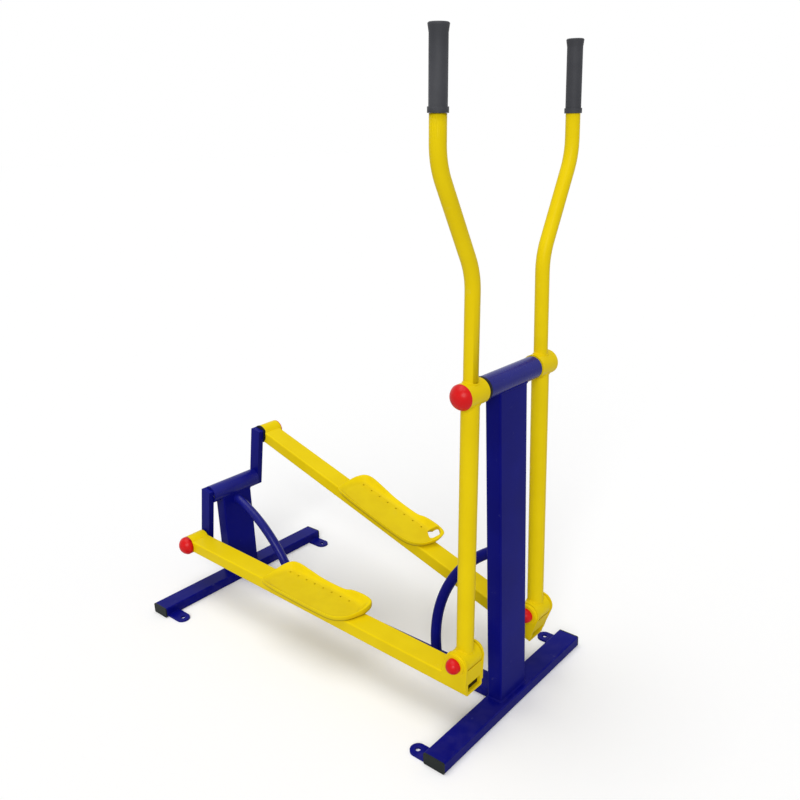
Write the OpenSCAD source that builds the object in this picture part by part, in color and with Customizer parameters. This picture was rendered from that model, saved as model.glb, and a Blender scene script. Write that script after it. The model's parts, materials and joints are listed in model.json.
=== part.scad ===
// Outdoor air walker: two swing levers and two foot beams, driven through a crank at the rear.
// Millimetres. X runs forward, Y to the walker's left, Z up. The origin is on the floor,
// straight below the lever axle.

/* [Stand] */
// Width of the posts, across the machine
post_w = 110; // [90:1:124]
// Depth of the posts, along the machine
post_t = 42; // [36:1:50]
// Wall of the posts, feet and base beam
frame_wall = 3; // [2:0.5:4]
// Height of the feet and the base beam
foot_h = 30; // [25:1:40]
// Depth of the feet, along the machine
foot_w = 61; // [52:1:70]
// Overall length of the front foot, with its end plugs
front_foot_len = 616; // [560:1:680]
// Overall length of the rear foot, with its end plugs
rear_foot_len = 645; // [590:1:700]
// Width of the base beam
base_w = 60; // [50:1:80]
// How far the front post's middle lies behind the lever axle
front_post_back = 2; // [0:0.5:4]
// How far the front foot's middle lies ahead of the lever axle
front_foot_lead = 3.5; // [0:0.5:8]
// How far the rear post's middle lies ahead of the crank axis
rear_post_lead = 1.5; // [0:0.5:4]
// Outer corner radius of the rectangular tubes
tube_corner = 4; // [3.5:0.5:7]

/* [Braces] */
// Diameter of the brace tubes
brace_d = 28; // [22:1:34]
// Wall of the brace tubes
brace_wall = 2.5; // [2:0.5:4]
// Bend radius of the brace tubes, on their middle line
brace_bend_r = 410; // [380:5:460]
// Reach of the front brace along the base beam, from the front post
front_brace_reach = 207; // [180:1:240]
// Rise of the front brace up the front post, from the base beam
front_brace_rise = 372; // [340:1:400]
// Reach of the rear brace along the base beam, from the rear post
rear_brace_reach = 250; // [220:1:280]
// Rise of the rear brace up the rear post, from the base beam
rear_brace_rise = 246; // [215:1:250]

/* [Anchor lugs] */
// Width of a lug
lug_w = 40; // [34:1:50]
// Distance from the foot's face to the bolt hole
lug_reach = 35; // [28:1:45]
// Thickness of a lug
lug_t = 6; // [4:0.5:8]
// Diameter of the bolt hole in a lug
lug_hole_d = 14; // [10:0.5:16]
// Distance from each end of the front foot to its bolt hole
front_lug_inset = 23; // [21:1:60]
// Distance from each end of the rear foot to its bolt hole
rear_lug_inset = 29.5; // [21:0.5:60]

/* [Lever axle] */
// Height of the lever axle above the floor
lever_axle_z = 863; // [820:1:900]
// Diameter of the cross tube that houses the lever axle
housing_d = 54; // [50:1:57]
// Length of that cross tube
housing_len = 210; // [200:1:220]
// Wall of the cross tube and of the crank housing
housing_wall = 4; // [3:0.5:6]
// Diameter of the lever axle between its two shoulders
axle_d = 30; // [28:1:34]
// Length of each collar that holds the axle
collar_len = 20; // [12:1:30]

/* [Hubs and bearings] */
// Outer diameter of the lever hubs
lever_hub_d = 58.5; // [56:0.5:64]
// Length of the lever hubs
lever_hub_len = 65; // [60:0.5:68]
// Outer diameter of the crank hubs at the rear of the beams
crank_hub_d = 56; // [54:0.5:62]
// Length of the crank hubs
crank_hub_len = 59; // [56:0.5:64]
// Outer diameter of the ball bearings
bearing_d = 47; // [44:0.5:49]
// Bore of the hub bearings, and diameter of the axle ends and crank pins
spindle_d = 20; // [17:0.5:22]
// Width of the ball bearings
bearing_w = 14; // [12:0.5:16]
// Thickness of the seal at the inner end of a lever hub
lever_seal_t = 3; // [2:0.5:5]
// Thickness of the seal at the inner end of a crank hub
crank_seal_t = 4.7; // [3:0.1:6]
// Height of a hub cap's dome as a share of its radius
dome_share = 0.70; // [0.4:0.02:0.8]
// Height of the straight rim under the dome of a lever cap
lever_cap_rim = 1.5; // [1.5:0.5:4]
// Height of the straight rim under the dome of a crank cap
crank_cap_rim = 6.5; // [2:0.5:8]
// Wall of the caps
cap_wall = 2.5; // [1.5:0.5:4]

/* [Levers] */
// Distance of each lever from the middle plane
lever_y = 141; // [138:1:150]
// Distance from the lever axle to the foot pivot
lever_len = 670; // [640:1:690]
// Diameter of the lower tube
lower_tube_d = 42; // [38:0.5:46]
// Diameter of the handle tube
handle_d = 33.5; // [30:0.5:38]
// Wall of the lever tubes
lever_wall = 3; // [2:0.5:4]
// Height of the lower bend of the handle above the lever axle
bend_low = 258; // [230:1:290]
// Angle through which each bend of the handle turns
handle_turn = 28.2; // [22:0.1:34]
// How far each handle steps outwards
handle_step = 118; // [90:1:140]
// Radius of both bends
handle_bend_r = 150; // [100:5:180]
// Height of the handle's top above the lever axle
handle_top = 725; // [700:1:760]
// Length of the grip
grip_len = 157; // [130:1:170]
// Diameter of the grip
grip_d = 35.5; // [34.5:0.5:42]
// Diameter of the grip's lower collar, and of its flared top
grip_collar_d = 40; // [37:0.5:46]
// Thickness of the rubber round the tube
grip_wall = 4; // [3:0.5:6]
// Diameter of the foot hub
foot_hub_d = 59; // [54:0.5:60]

/* [Beams] */
// Width of the beam tubes
beam_w = 62; // [58:1:66]
// Height of the beam tubes
beam_h = 37; // [34:1:44]
// Wall of the beam tubes
beam_wall = 4; // [3:0.5:5]
// Distance from the crank pin to the lever pivot, along the beam
beam_reach = 1080; // [1060:1:1095]
// Length of the beam beyond the lever pivot
beam_over = 29; // [27:0.5:32]
// Height of the lever pivot above the beam's top
pivot_rise = 45.5; // [44:0.5:56]
// Radius of the ears round the pivot
ear_r = 32; // [30:0.5:34]
// Thickness of the ears, which lie against the beam's sides
ear_t = 4.5; // [4:0.5:7]
// How far the ears reach down the beam's sides
ear_drop = 22; // [14:1:30]
// Slant of the ears' rear edge
ear_slant = 15; // [5:1:25]
// Diameter of the bosses on the ears
boss_d = 52; // [46:1:56]
// Thickness of the bosses
boss_t = 7; // [4:0.5:9]
// Diameter of the pivot bolt
pivot_bolt_d = 16; // [12:0.5:18]
// Diameter of the dome caps over the pivot bolt
pivot_cap_d = 38; // [36:0.5:42]
// Height of those caps
pivot_cap_len = 22.5; // [18:0.5:24]

/* [Foot trays] */
// Distance from the crank pin to the tray's rear end, along the beam
tray_start = 374.5; // [360:0.5:390]
// Length of a tray
tray_len = 353.5; // [330:0.5:370]
// Width of a tray
tray_w = 122; // [110:1:134]
// How far the tray's right edge lies from the beam's middle
tray_right = 57; // [50:1:64]
// Height of the tray's highest rim
tray_rim = 30; // [24:1:38]
// Thickness of the tray's floor
tray_floor = 7; // [5:0.5:8]
// Diameter of the tray bolts
tray_bolt_d = 8; // [6:0.5:10]

/* [Crank] */
// Distance of the crank axis behind the lever axle
crank_back = 1081; // [1070:1:1090]
// Height of the crank axis above the floor
crank_z = 315.5; // [290:0.5:340]
// Distance from the crank axis to a crank pin
crank_r = 154.5; // [120:0.5:160]
// Diameter of the crank housing
crank_housing_d = 56; // [54:1:62]
// Length of the crank housing
crank_housing_len = 177; // [160:1:177]
// Diameter of the crank shaft
crank_shaft_d = 25; // [20:0.5:28]
// Width of a crank arm
arm_w = 39; // [34:1:46]
// Thickness of a crank arm
arm_t = 18; // [14:0.5:18]
// Length of a crank arm beyond the axes of its shaft and its pin
arm_over = 21; // [18:0.5:26]
// Angle of the crank from upright, as it stands
crank_rest = 10.4; // [0:0.1:20]

/* [Hidden] */
$fn = 64;

// Overrun of every cut
cut = 2;
// Radial clearance of a shaft in its hole
fit_gap = 0.05;
// Clearance between faces that move past each other
run_gap = 0.3;
// Clearance at a saddle-cut tube end, filled by its weld on the real object
weld_gap = 0.2;

// Colours
frame_blue = [0.13, 0.13, 0.55];
lever_yellow = [0.95, 0.83, 0.08];
cap_red = [0.85, 0.10, 0.10];
rubber_black = [0.10, 0.11, 0.11];
steel_grey = [0.62, 0.63, 0.65];
bronze = [0.70, 0.50, 0.22];

// Stand: places along X
front_post_x = -front_post_back;
rear_post_x = rear_post_lead - crank_back;
front_foot_x = front_foot_lead;
rear_foot_x = rear_post_x - post_t / 2 + foot_w / 2;
plug_flange = 4;
plug_depth = 18;
plug_wall = 2.5;
plug_gap = 0.1;

// Hubs: places along Y, measured from the middle plane
lever_hub_in = housing_len / 2 + run_gap + lever_seal_t;
lever_hub_out = lever_hub_in + lever_hub_len;
arm_in = crank_housing_len / 2 + run_gap;
arm_out = arm_in + arm_t;
crank_hub_in = arm_out + run_gap + crank_seal_t;
crank_hub_out = crank_hub_in + crank_hub_len;
bearing_inset = 2;
outer_bearing_inset = 13;
hub_land = 3.5;
washer_t = 2;
washer_d = 32;
hub_nut_af = 30;
hub_nut_t = 9;
spindle_thread = 2;
seal_step = 1.5;

// Sealed ball bearing: ring widths and the depth of its shields
race_t = 3.5;
shield_depth = 0.8;

// Foot pivot
bush_wall = 6;
bush_flange_t = 1.6;
bush_flange_w = 5;
bush_gap = 4;
ear_in = beam_w / 2;
ear_out = ear_in + ear_t;
boss_out = ear_out + boss_t;
foot_hub_half = ear_in - run_gap - bush_flange_t;
web_t = 5;
web_gap = 1.5;
pivot_head_af = 24;
pivot_head_t = 7;
pivot_cap_wall = 2;
pivot_cap_share = 0.9;

// Grip
grip_collar_len = 11;
grip_flare = 15;
grip_edge = 2;

// Crank arms: the metal left over the shaft's end
arm_cover = 4;

// Tray bolts
bolt_head_d = 2 * tray_bolt_d;
bolt_head_t = 3;
bolt_gap = 0.2;
tray_nut_af = 13;
tray_nut_t = 6.5;
tray_bolt_shares = [[0.163, 0.36], [0.163, 0.62], [0.770, 0.36], [0.770, 0.62]];

// Linkage: the foot pivot of each lever from the crank's rest angle
beam_half = beam_h / 2;
pivot_up = beam_half + pivot_rise;
pin_span = norm([beam_reach, pivot_up]);
axle_at = [0, lever_axle_z];
function pin_at(side) =
    [-crank_back + side * crank_r * sin(crank_rest), crank_z + side * crank_r * cos(crank_rest)];
function pivot_at(side) =
    let (
        pin = pin_at(side),
        gap = axle_at - pin,
        d = norm(gap),
        along = (pin_span * pin_span - lever_len * lever_len + d * d) / (2 * d),
        off = sqrt(pin_span * pin_span - along * along),
        dir = gap / d
    )
    pin + along * dir + off * [dir[1], -dir[0]];
function lever_angle(side) =
    let (p = pivot_at(side)) atan2(axle_at[0] - p[0], axle_at[1] - p[1]);
function beam_pitch(side) =
    let (g = pivot_at(side) - pin_at(side)) atan2(g[1], g[0]) - atan2(pivot_up, beam_reach);

// Brace: the centre of an arc of the bend radius, from the base beam up to a post
function arc_centre(low, high, r) =
    let (
        mid = (low + high) / 2,
        half = norm(high - low) / 2,
        dir = (high - low) / (2 * half)
    )
    mid + sqrt(r * r - half * half) * [dir[1], -dir[0]];

// Smooth closed curve through control points: one point of a Catmull-Rom span
function spline_point(p0, p1, p2, p3, t) =
    (2 * p1 + (p2 - p0) * t + (2 * p0 - 5 * p1 + 4 * p2 - p3) * t * t
     + (3 * p1 - p0 - 3 * p2 + p3) * t * t * t) / 2;
function closed_curve(pts, steps) =
    let (n = len(pts))
    [for (i = [0:n - 1], k = [0:steps - 1])
        spline_point(pts[(i + n - 1) % n], pts[i], pts[(i + 1) % n], pts[(i + 2) % n], k / steps)];

// Tray rim, as shares of the tray's length, width and highest rim, round from the right rear corner
tray_rim_shares = [
    [0.021, 0.090, 0.40], [0.131, 0.016, 0.44], [0.414, 0.000, 0.46], [0.696, 0.000, 0.48],
    [0.853, 0.045, 0.50], [0.942, 0.235, 0.52], [0.981, 0.500, 0.58], [1.000, 0.720, 0.78],
    [0.984, 0.925, 0.92], [0.895, 0.995, 0.95], [0.764, 0.990, 0.88], [0.665, 0.970, 0.62],
    [0.440, 0.975, 0.62], [0.273, 0.990, 0.84], [0.136, 1.000, 1.00], [0.053, 0.955, 0.88],
    [0.006, 0.755, 0.62], [0.000, 0.420, 0.42],
];
// Edge of the tray's floor, as shares of its length and width, opposite the same points
tray_floor_shares = [
    [0.095, 0.175], [0.199, 0.105], [0.414, 0.060], [0.681, 0.060],
    [0.812, 0.085], [0.901, 0.240], [0.932, 0.465], [0.927, 0.615],
    [0.892, 0.730], [0.830, 0.800], [0.749, 0.815], [0.651, 0.820],
    [0.440, 0.820], [0.283, 0.828], [0.178, 0.835], [0.100, 0.815],
    [0.074, 0.620], [0.068, 0.390],
];
// Each ring of the tray's wall: how far in from the rim towards the floor's edge, and how high
tray_ring_shares = [[0.36, 0.00], [0.12, 0.45], [0.00, 0.92], [0.10, 1.00], [0.24, 0.95], [0.62, 0.36]];
tray_steps = 4;
tray_loop_w = 23;
tray_loop_len = 31;
tray_loop_shares = [0.921, 0.810];
tray_loop_turn = -35;
// Row of drain holes beside the beam: their size and number, and the shares of the first and the last
drain_d = 6;
drains = 8;
drain_shares = [[0.106, 0.775], [0.789, 0.775]];

// Helpers

// Rod along Y, from y0 to y1
module y_rod(d, y0, y1) {
    translate([0, y1, 0]) rotate([90, 0, 0]) cylinder(d = d, h = y1 - y0);
}

// Hexagon nut along Y, from y0 to y1, af across its flats
module y_hex(af, y0, y1) {
    translate([0, y1, 0]) rotate([90, 0, 0]) cylinder(d = af / cos(30), h = y1 - y0, $fn = 6);
}

// Ring along Y
module y_ring(d_out, d_in, y0, y1) {
    difference() {
        y_rod(d_out, y0, y1);
        y_rod(d_in, y0 - cut, y1 + cut);
    }
}

// Rectangle with round corners, centred
module round_rect(w, h, r) {
    square([w - 2 * r, h], center = true);
    square([w, h - 2 * r], center = true);
    for (sx = [-1, 1], sy = [-1, 1])
        translate([sx * (w / 2 - r), sy * (h / 2 - r)]) circle(r = r, $fn = 32);
}

// Section of a rectangular tube
module tube_section(w, h, wall, r) {
    difference() {
        round_rect(w, h, r);
        round_rect(w - 2 * wall, h - 2 * wall, r - wall);
    }
}

// Draws its children as they are on the left side (1), or mirrored to the right side (-1)
module on_side(side) {
    if (side > 0) children();
    else mirror([0, 1, 0]) children();
}

// Ball bearing along Y, its near face at y0
module ball_bearing(d_out, d_in, y0) {
    difference() {
        y_ring(d_out, d_in, y0, y0 + bearing_w);
        for (face = [0, 1])
            y_ring(
                d_out - 2 * race_t, d_in + 2 * race_t,
                y0 + face * bearing_w - shield_depth, y0 + face * bearing_w + shield_depth
            );
    }
}

// Stand

// Foot across the machine, len long over its plugs
module foot_tube(len) {
    half = len / 2 - plug_flange;
    translate([0, half, foot_h / 2]) rotate([90, 0, 0]) linear_extrude(2 * half)
        tube_section(foot_w, foot_h, frame_wall, tube_corner);
}

module front_foot() {
    color(frame_blue) translate([front_foot_x, 0, 0]) foot_tube(front_foot_len);
}

module rear_foot() {
    color(frame_blue) translate([rear_foot_x, 0, 0]) foot_tube(rear_foot_len);
}

// Base beam between the facing sides of the two feet
module base_beam() {
    x0 = rear_foot_x + foot_w / 2;
    x1 = front_foot_x - foot_w / 2;
    color(frame_blue) translate([x0, 0, foot_h / 2]) rotate([90, 0, 90]) linear_extrude(x1 - x0)
        tube_section(base_w, foot_h, frame_wall, tube_corner);
}

// Upright post at x, from the foot's top into a saddle cut for the tube that lies across it at tube_x
module post(x, tube_x, tube_z, tube_d) {
    difference() {
        translate([x, 0, foot_h]) linear_extrude(tube_z - foot_h)
            tube_section(post_t, post_w, frame_wall, tube_corner);
        translate([tube_x, 0, tube_z]) y_rod(tube_d + 2 * weld_gap, -post_w, post_w);
    }
}

module front_post() {
    color(frame_blue) post(front_post_x, 0, lever_axle_z, housing_d);
}

module rear_post() {
    color(frame_blue) post(rear_post_x, -crank_back, crank_z, crank_housing_d);
}

// Bent brace: rises from the base beam at low to a post's face at high, points in X and Z
module brace(low, high) {
    c = arc_centre(low, high, brace_bend_r);
    toward = sign(high[0] - low[0]);
    difference() {
        translate([c[0], 0, c[1]]) rotate([90, 0, 0]) rotate_extrude($fn = 180)
            translate([brace_bend_r, 0]) difference() {
                circle(d = brace_d, $fn = 48);
                circle(d = brace_d - 2 * brace_wall, $fn = 48);
            }
        translate([c[0] - 2 * brace_bend_r, -brace_d, foot_h - 3 * brace_bend_r])
            cube([4 * brace_bend_r, 2 * brace_d, 3 * brace_bend_r]);
        translate([high[0] + (toward > 0 ? 0 : -3 * brace_bend_r), -brace_d, 0])
            cube([3 * brace_bend_r, 2 * brace_d, 3 * brace_bend_r]);
    }
}

module front_brace() {
    x = front_post_x - post_t / 2;
    color(frame_blue) brace([x - front_brace_reach, foot_h], [x, foot_h + front_brace_rise]);
}

module rear_brace() {
    x = rear_post_x + post_t / 2;
    color(frame_blue) mirror([1, 0, 0])
        brace([-x - rear_brace_reach, foot_h], [-x, foot_h + rear_brace_rise]);
}

// Cross tube on the front post
module axle_housing() {
    color(frame_blue) translate([0, 0, lever_axle_z])
        y_ring(housing_d, housing_d - 2 * housing_wall, -housing_len / 2, housing_len / 2);
}

module axle_collars() {
    d_out = housing_d - 2 * housing_wall - 2 * fit_gap;
    color(steel_grey) translate([0, 0, lever_axle_z]) for (side = [-1, 1]) on_side(side)
        y_ring(d_out, axle_d + 2 * fit_gap, housing_len / 2 - collar_len, housing_len / 2);
}

// Stepped shaft: a thick middle with shoulders for the bearings, and a threaded end each side
module lever_axle() {
    shoulder = lever_hub_in + bearing_inset;
    end = lever_hub_out - outer_bearing_inset + washer_t + hub_nut_t + spindle_thread;
    color(steel_grey) translate([0, 0, lever_axle_z]) {
        y_rod(axle_d, -shoulder, shoulder);
        y_rod(spindle_d, -end, end);
    }
}

// Washer and nut that hold the outer bearing of a hub, from the bearing's face at y0
module hub_nut(y0) {
    difference() {
        union() {
            y_rod(washer_d, y0, y0 + washer_t);
            y_hex(hub_nut_af, y0 + washer_t, y0 + washer_t + hub_nut_t);
        }
        y_rod(spindle_d + 2 * fit_gap, y0 - cut, y0 + washer_t + hub_nut_t + cut);
    }
}

module axle_nuts() {
    color(steel_grey) translate([0, 0, lever_axle_z]) for (side = [-1, 1]) on_side(side)
        hub_nut(lever_hub_out - outer_bearing_inset);
}

module crank_housing() {
    seat = bearing_w + bearing_inset;
    half = crank_housing_len / 2;
    color(frame_blue) translate([-crank_back, 0, crank_z]) difference() {
        y_ring(crank_housing_d, bearing_d - 2 * hub_land, -half, half);
        for (side = [-1, 1]) on_side(side) y_rod(bearing_d + 2 * fit_gap, half - seat, half + cut);
    }
}

module crank_bearings() {
    y0 = crank_housing_len / 2 - bearing_inset - bearing_w;
    color(steel_grey) translate([-crank_back, 0, crank_z]) for (side = [-1, 1]) on_side(side)
        ball_bearing(bearing_d, crank_shaft_d + 2 * fit_gap, y0);
}

// Anchor lug with a round end: leaves a foot's face at the origin and reaches along +X
module anchor_lug() {
    difference() {
        union() {
            translate([0, -lug_w / 2, 0]) cube([lug_reach, lug_w, lug_t]);
            translate([lug_reach, 0, 0]) cylinder(d = lug_w, h = lug_t);
        }
        translate([lug_reach, 0, -cut]) cylinder(d = lug_hole_d, h = lug_t + 2 * cut);
    }
}

module front_anchor_lugs() {
    x = front_foot_x - foot_w / 2;
    y = front_foot_len / 2 - front_lug_inset;
    color(frame_blue) for (side = [-1, 1])
        translate([x, side * y, 0]) rotate([0, 0, 180]) anchor_lug();
}

module rear_anchor_lugs() {
    x = rear_foot_x + foot_w / 2;
    y = rear_foot_len / 2 - rear_lug_inset;
    color(frame_blue) for (side = [-1, 1])
        translate([x, side * y, 0]) anchor_lug();
}

// Plastic plug: a flange over the tube's end, and a hollow box that grips inside the tube
module end_plug() {
    w = foot_w - 2 * frame_wall - 2 * plug_gap;
    h = foot_h - 2 * frame_wall - 2 * plug_gap;
    rotate([-90, 0, 0]) {
        translate([0, 0, -plug_flange]) linear_extrude(plug_flange)
            round_rect(foot_w, foot_h, tube_corner);
        translate([0, 0, -plug_flange - plug_depth]) linear_extrude(plug_depth)
            tube_section(w, h, plug_wall, 2 * plug_wall);
    }
}

module foot_end_plugs() {
    color(rubber_black) for (foot = [[front_foot_x, front_foot_len], [rear_foot_x, rear_foot_len]])
        for (side = [-1, 1]) on_side(side)
            translate([foot[0], foot[1] / 2, foot_h / 2]) end_plug();
}

// Crank

module at_crank() {
    translate([-crank_back, 0, crank_z]) rotate([0, crank_rest, 0]) children();
}

module crank_shaft() {
    end = arm_out - arm_cover;
    color(steel_grey) at_crank() y_rod(crank_shaft_d, -end, end);
}

// Flat bar with square ends, from the shaft's axis up to the crank pin's, with a blind hole for the shaft
module crank_arm() {
    len = crank_r + 2 * arm_over;
    difference() {
        translate([0, arm_out, crank_r / 2]) rotate([90, 0, 0]) linear_extrude(arm_t)
            round_rect(arm_w, len, tube_corner / 2);
        y_rod(crank_shaft_d + 2 * fit_gap, arm_in - cut, arm_out - arm_cover);
    }
}

module left_crank_arm() {
    color(frame_blue) at_crank() crank_arm();
}

module right_crank_arm() {
    color(frame_blue) at_crank() rotate([180, 0, 0]) crank_arm();
}

// Hubs: the same build for the levers and for the rear ends of the beams

// Hub shell with a bearing seat at each end and a land between them
module hub_shell(d, y0, y1) {
    seat = bearing_d + 2 * fit_gap;
    difference() {
        y_rod(d, y0, y1);
        y_rod(bearing_d - 2 * hub_land, y0 - cut, y1 + cut);
        y_rod(seat, y0 - cut, y0 + bearing_inset + bearing_w);
        y_rod(seat, y1 - outer_bearing_inset - bearing_w, y1 + cut);
    }
}

module bearing_pair(y0, y1) {
    ball_bearing(bearing_d, spindle_d + 2 * fit_gap, y0 + bearing_inset);
    ball_bearing(bearing_d, spindle_d + 2 * fit_gap, y1 - outer_bearing_inset - bearing_w);
}

// Rubber ring on the inner face of a hub at y1, with a step in its rim
module hub_seal_ring(d, t, y1) {
    d_in = axle_d + 2 * run_gap;
    y_ring(d, d_in, y1 - t / 2, y1);
    y_ring(d - 2 * seal_step, d_in, y1 - t, y1 - t / 2);
}

// Rod with a dome on it, from y on: rim high up to the dome, which rises by rise
module domed_rod(d, y, rim, rise) {
    r = d / 2;
    ball = (r * r + rise * rise) / (2 * rise);
    y_rod(d, y, y + rim);
    intersection() {
        translate([0, y + rim + rise - ball, 0]) sphere(r = ball);
        y_rod(d, y + rim - cut / 2, y + rim + rise + cut);
    }
}

// Hollow in a domed rod: the same dome, a wall smaller, no wider than mouth_d, and open at y
module dome_hollow(d, mouth_d, y, rim, rise, wall) {
    r = d / 2;
    ball = (r * r + rise * rise) / (2 * rise);
    intersection() {
        translate([0, y + rim + rise - ball, 0]) sphere(r = ball - wall);
        y_rod(mouth_d, y - cut / 2, y + rim + rise);
    }
}

// Dome cap on the outer face of a hub at y, with a skirt in the hub's bore
module dome_cap(d, y, rim) {
    rise = dome_share * d / 2;
    skirt = outer_bearing_inset - washer_t - hub_nut_t / 2;
    difference() {
        union() {
            domed_rod(d, y, rim, rise);
            y_rod(bearing_d - 2 * fit_gap, y - skirt, y + cut / 2);
        }
        dome_hollow(d, bearing_d - 2 * cap_wall, y, rim, rise, cap_wall);
        y_rod(bearing_d - 2 * cap_wall, y - skirt - cut, y);
    }
}

// Levers: drawn for the left side in the lever's own frame, its axle at the origin

module at_lever(side) {
    on_side(side) translate([0, 0, lever_axle_z]) rotate([0, lever_angle(side), 0]) children();
}

module lever_hub(side) {
    color(lever_yellow) at_lever(side) hub_shell(lever_hub_d, lever_hub_in, lever_hub_out);
}

module lower_tube(side) {
    saddle = 2 * weld_gap;
    color(lever_yellow) at_lever(side) difference() {
        translate([0, lever_y, -lever_len]) cylinder(d = lower_tube_d, h = lever_len);
        translate([0, lever_y, -lever_len - cut])
            cylinder(d = lower_tube_d - 2 * lever_wall, h = lever_len + 2 * cut);
        y_rod(lever_hub_d + saddle, lever_hub_in, lever_hub_out);
        translate([0, 0, -lever_len])
            y_rod(foot_hub_d + saddle, lever_y - lower_tube_d, lever_y + lower_tube_d);
    }
}

// Bend of the handle path: starts upright at the origin and leans outwards
module handle_bend(d) {
    translate([0, handle_bend_r, 0]) rotate([0, -90, 0]) rotate([0, 0, -90])
        rotate_extrude(angle = handle_turn, $fn = 180)
            translate([handle_bend_r, 0]) circle(d = d, $fn = 48);
}

// Draws its children from the far end of a bend on
module past_bend() {
    translate([0, handle_bend_r, 0]) rotate([-handle_turn, 0, 0]) translate([0, -handle_bend_r, 0])
        children();
}

// Solid along the handle's middle line, from z0: up, out along the slant, and up again to z1
module handle_path(d, z0, z1) {
    set = handle_bend_r * tan(handle_turn / 2);
    run = handle_step / sin(handle_turn) - 2 * set;
    bend_high = bend_low + handle_step / tan(handle_turn);
    translate([0, 0, z0]) cylinder(d = d, h = bend_low - set - z0);
    translate([0, 0, bend_low - set]) {
        handle_bend(d);
        past_bend() {
            cylinder(d = d, h = run);
            translate([0, 0, run]) mirror([0, 1, 0]) {
                handle_bend(d);
                past_bend() cylinder(d = d, h = z1 - bend_high - set);
            }
        }
    }
}

// Handle tube with a thinner spigot set into its top, which carries the grip flush
module handle_tube(side) {
    spigot_d = grip_d - 2 * grip_wall;
    grip_z = handle_top - grip_len;
    color(lever_yellow) at_lever(side) translate([0, lever_y, 0]) difference() {
        union() {
            handle_path(handle_d, 0, grip_z - run_gap);
            translate([0, handle_step, grip_z - handle_d])
                cylinder(d = spigot_d, h = handle_d + grip_len - grip_wall - run_gap);
        }
        handle_path(spigot_d - 2 * lever_wall, -cut, handle_top);
        translate([0, -lever_y, 0]) y_rod(lever_hub_d + 2 * weld_gap, lever_hub_in, lever_hub_out);
    }
}

// Rubber sleeve with a collar at its foot and a flared, closed top
module grip(side) {
    spigot_d = grip_d - 2 * grip_wall;
    flare_z = grip_len - grip_edge - grip_flare;
    color(rubber_black) at_lever(side)
        translate([0, lever_y + handle_step, handle_top - grip_len]) difference() {
            union() {
                cylinder(d = grip_d, h = grip_len - grip_edge);
                cylinder(d = grip_collar_d, h = grip_collar_len);
                translate([0, 0, flare_z]) cylinder(d1 = grip_d, d2 = grip_collar_d, h = grip_flare);
                translate([0, 0, flare_z + grip_flare])
                    cylinder(d1 = grip_collar_d, d2 = grip_collar_d - 2 * grip_edge, h = grip_edge);
            }
            translate([0, 0, -cut]) cylinder(d = spigot_d + 2 * fit_gap, h = grip_len - grip_wall + cut);
        }
}

module hub_bearings(side) {
    color(steel_grey) at_lever(side) bearing_pair(lever_hub_in, lever_hub_out);
}

module hub_seal(side) {
    color(rubber_black) at_lever(side)
        hub_seal_ring(lever_hub_d - seal_step, lever_seal_t, lever_hub_in);
}

module hub_cap(side) {
    color(cap_red) at_lever(side) dome_cap(lever_hub_d, lever_hub_out, lever_cap_rim);
}

module foot_hub(side) {
    bore = pivot_bolt_d + 2 * bush_wall + 2 * fit_gap;
    color(lever_yellow) at_lever(side) translate([0, lever_y, -lever_len])
        y_ring(foot_hub_d, bore, -foot_hub_half, foot_hub_half);
}

// Two flanged bushes, one pressed into each end of the foot hub
module foot_bushes(side) {
    bush_d = pivot_bolt_d + 2 * bush_wall;
    bore = pivot_bolt_d + 2 * fit_gap;
    color(bronze) at_lever(side) translate([0, lever_y, -lever_len]) for (end = [-1, 1]) on_side(end) {
        y_ring(bush_d, bore, bush_gap / 2, foot_hub_half);
        y_ring(bush_d + 2 * bush_flange_w, bore, foot_hub_half, foot_hub_half + bush_flange_t);
    }
}

// Beams: in the beam's own frame, X along the tube, the crank pin's axis at the origin.
// side sets the place only: what must be mirrored is mirrored in its own module.

module at_beam(side) {
    pin = pin_at(side);
    translate([pin[0], 0, pin[1]]) rotate([0, -beam_pitch(side), 0]) children();
}

module beam_tube(side) {
    end = beam_reach + beam_over;
    color(lever_yellow) at_beam(side) translate([0, side * lever_y, 0]) difference() {
        rotate([90, 0, 90]) linear_extrude(end) tube_section(beam_w, beam_h, beam_wall, tube_corner);
        y_rod(crank_hub_d + 2 * weld_gap, -beam_w, beam_w);
        for (p = tray_bolt_shares)
            translate([tray_start + p[0] * tray_len, p[1] * tray_w - tray_right, 0])
                cylinder(d = tray_bolt_d + 2 * bolt_gap, h = beam_h);
    }
}

// Outline of an ear against the beam's side, the pivot straight above the origin on the beam's top
module ear_outline() {
    tip = [-ear_r * cos(ear_slant), pivot_rise + ear_r * sin(ear_slant)];
    heel = -(ear_r + (pivot_rise + ear_drop) * sin(ear_slant)) / cos(ear_slant);
    translate([0, pivot_rise]) circle(r = ear_r);
    polygon([
        [heel, -ear_drop], [beam_over, -ear_drop], [beam_over, 0], [ear_r, pivot_rise],
        [0, pivot_rise], tip
    ]);
}

// Two ears with bosses, and a web between them at the beam's end, clear of the foot hub
module beam_ears(side) {
    web_in = beam_over - web_t;
    reach = foot_hub_d / 2 + web_gap;
    web_h = pivot_rise - sqrt(reach * reach - web_in * web_in);
    color(lever_yellow) at_beam(side) translate([beam_reach, side * lever_y, beam_half]) {
        translate([web_in, -ear_in, 0]) cube([web_t, 2 * ear_in, web_h]);
        for (end = [-1, 1]) on_side(end) difference() {
            union() {
                translate([0, ear_out, 0]) rotate([90, 0, 0]) linear_extrude(ear_t) ear_outline();
                translate([0, 0, pivot_rise]) y_rod(boss_d, ear_in + ear_t / 2, boss_out);
            }
            translate([0, 0, pivot_rise])
                y_rod(pivot_bolt_d + 2 * fit_gap, ear_in - cut, boss_out + cut);
        }
    }
}

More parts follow.
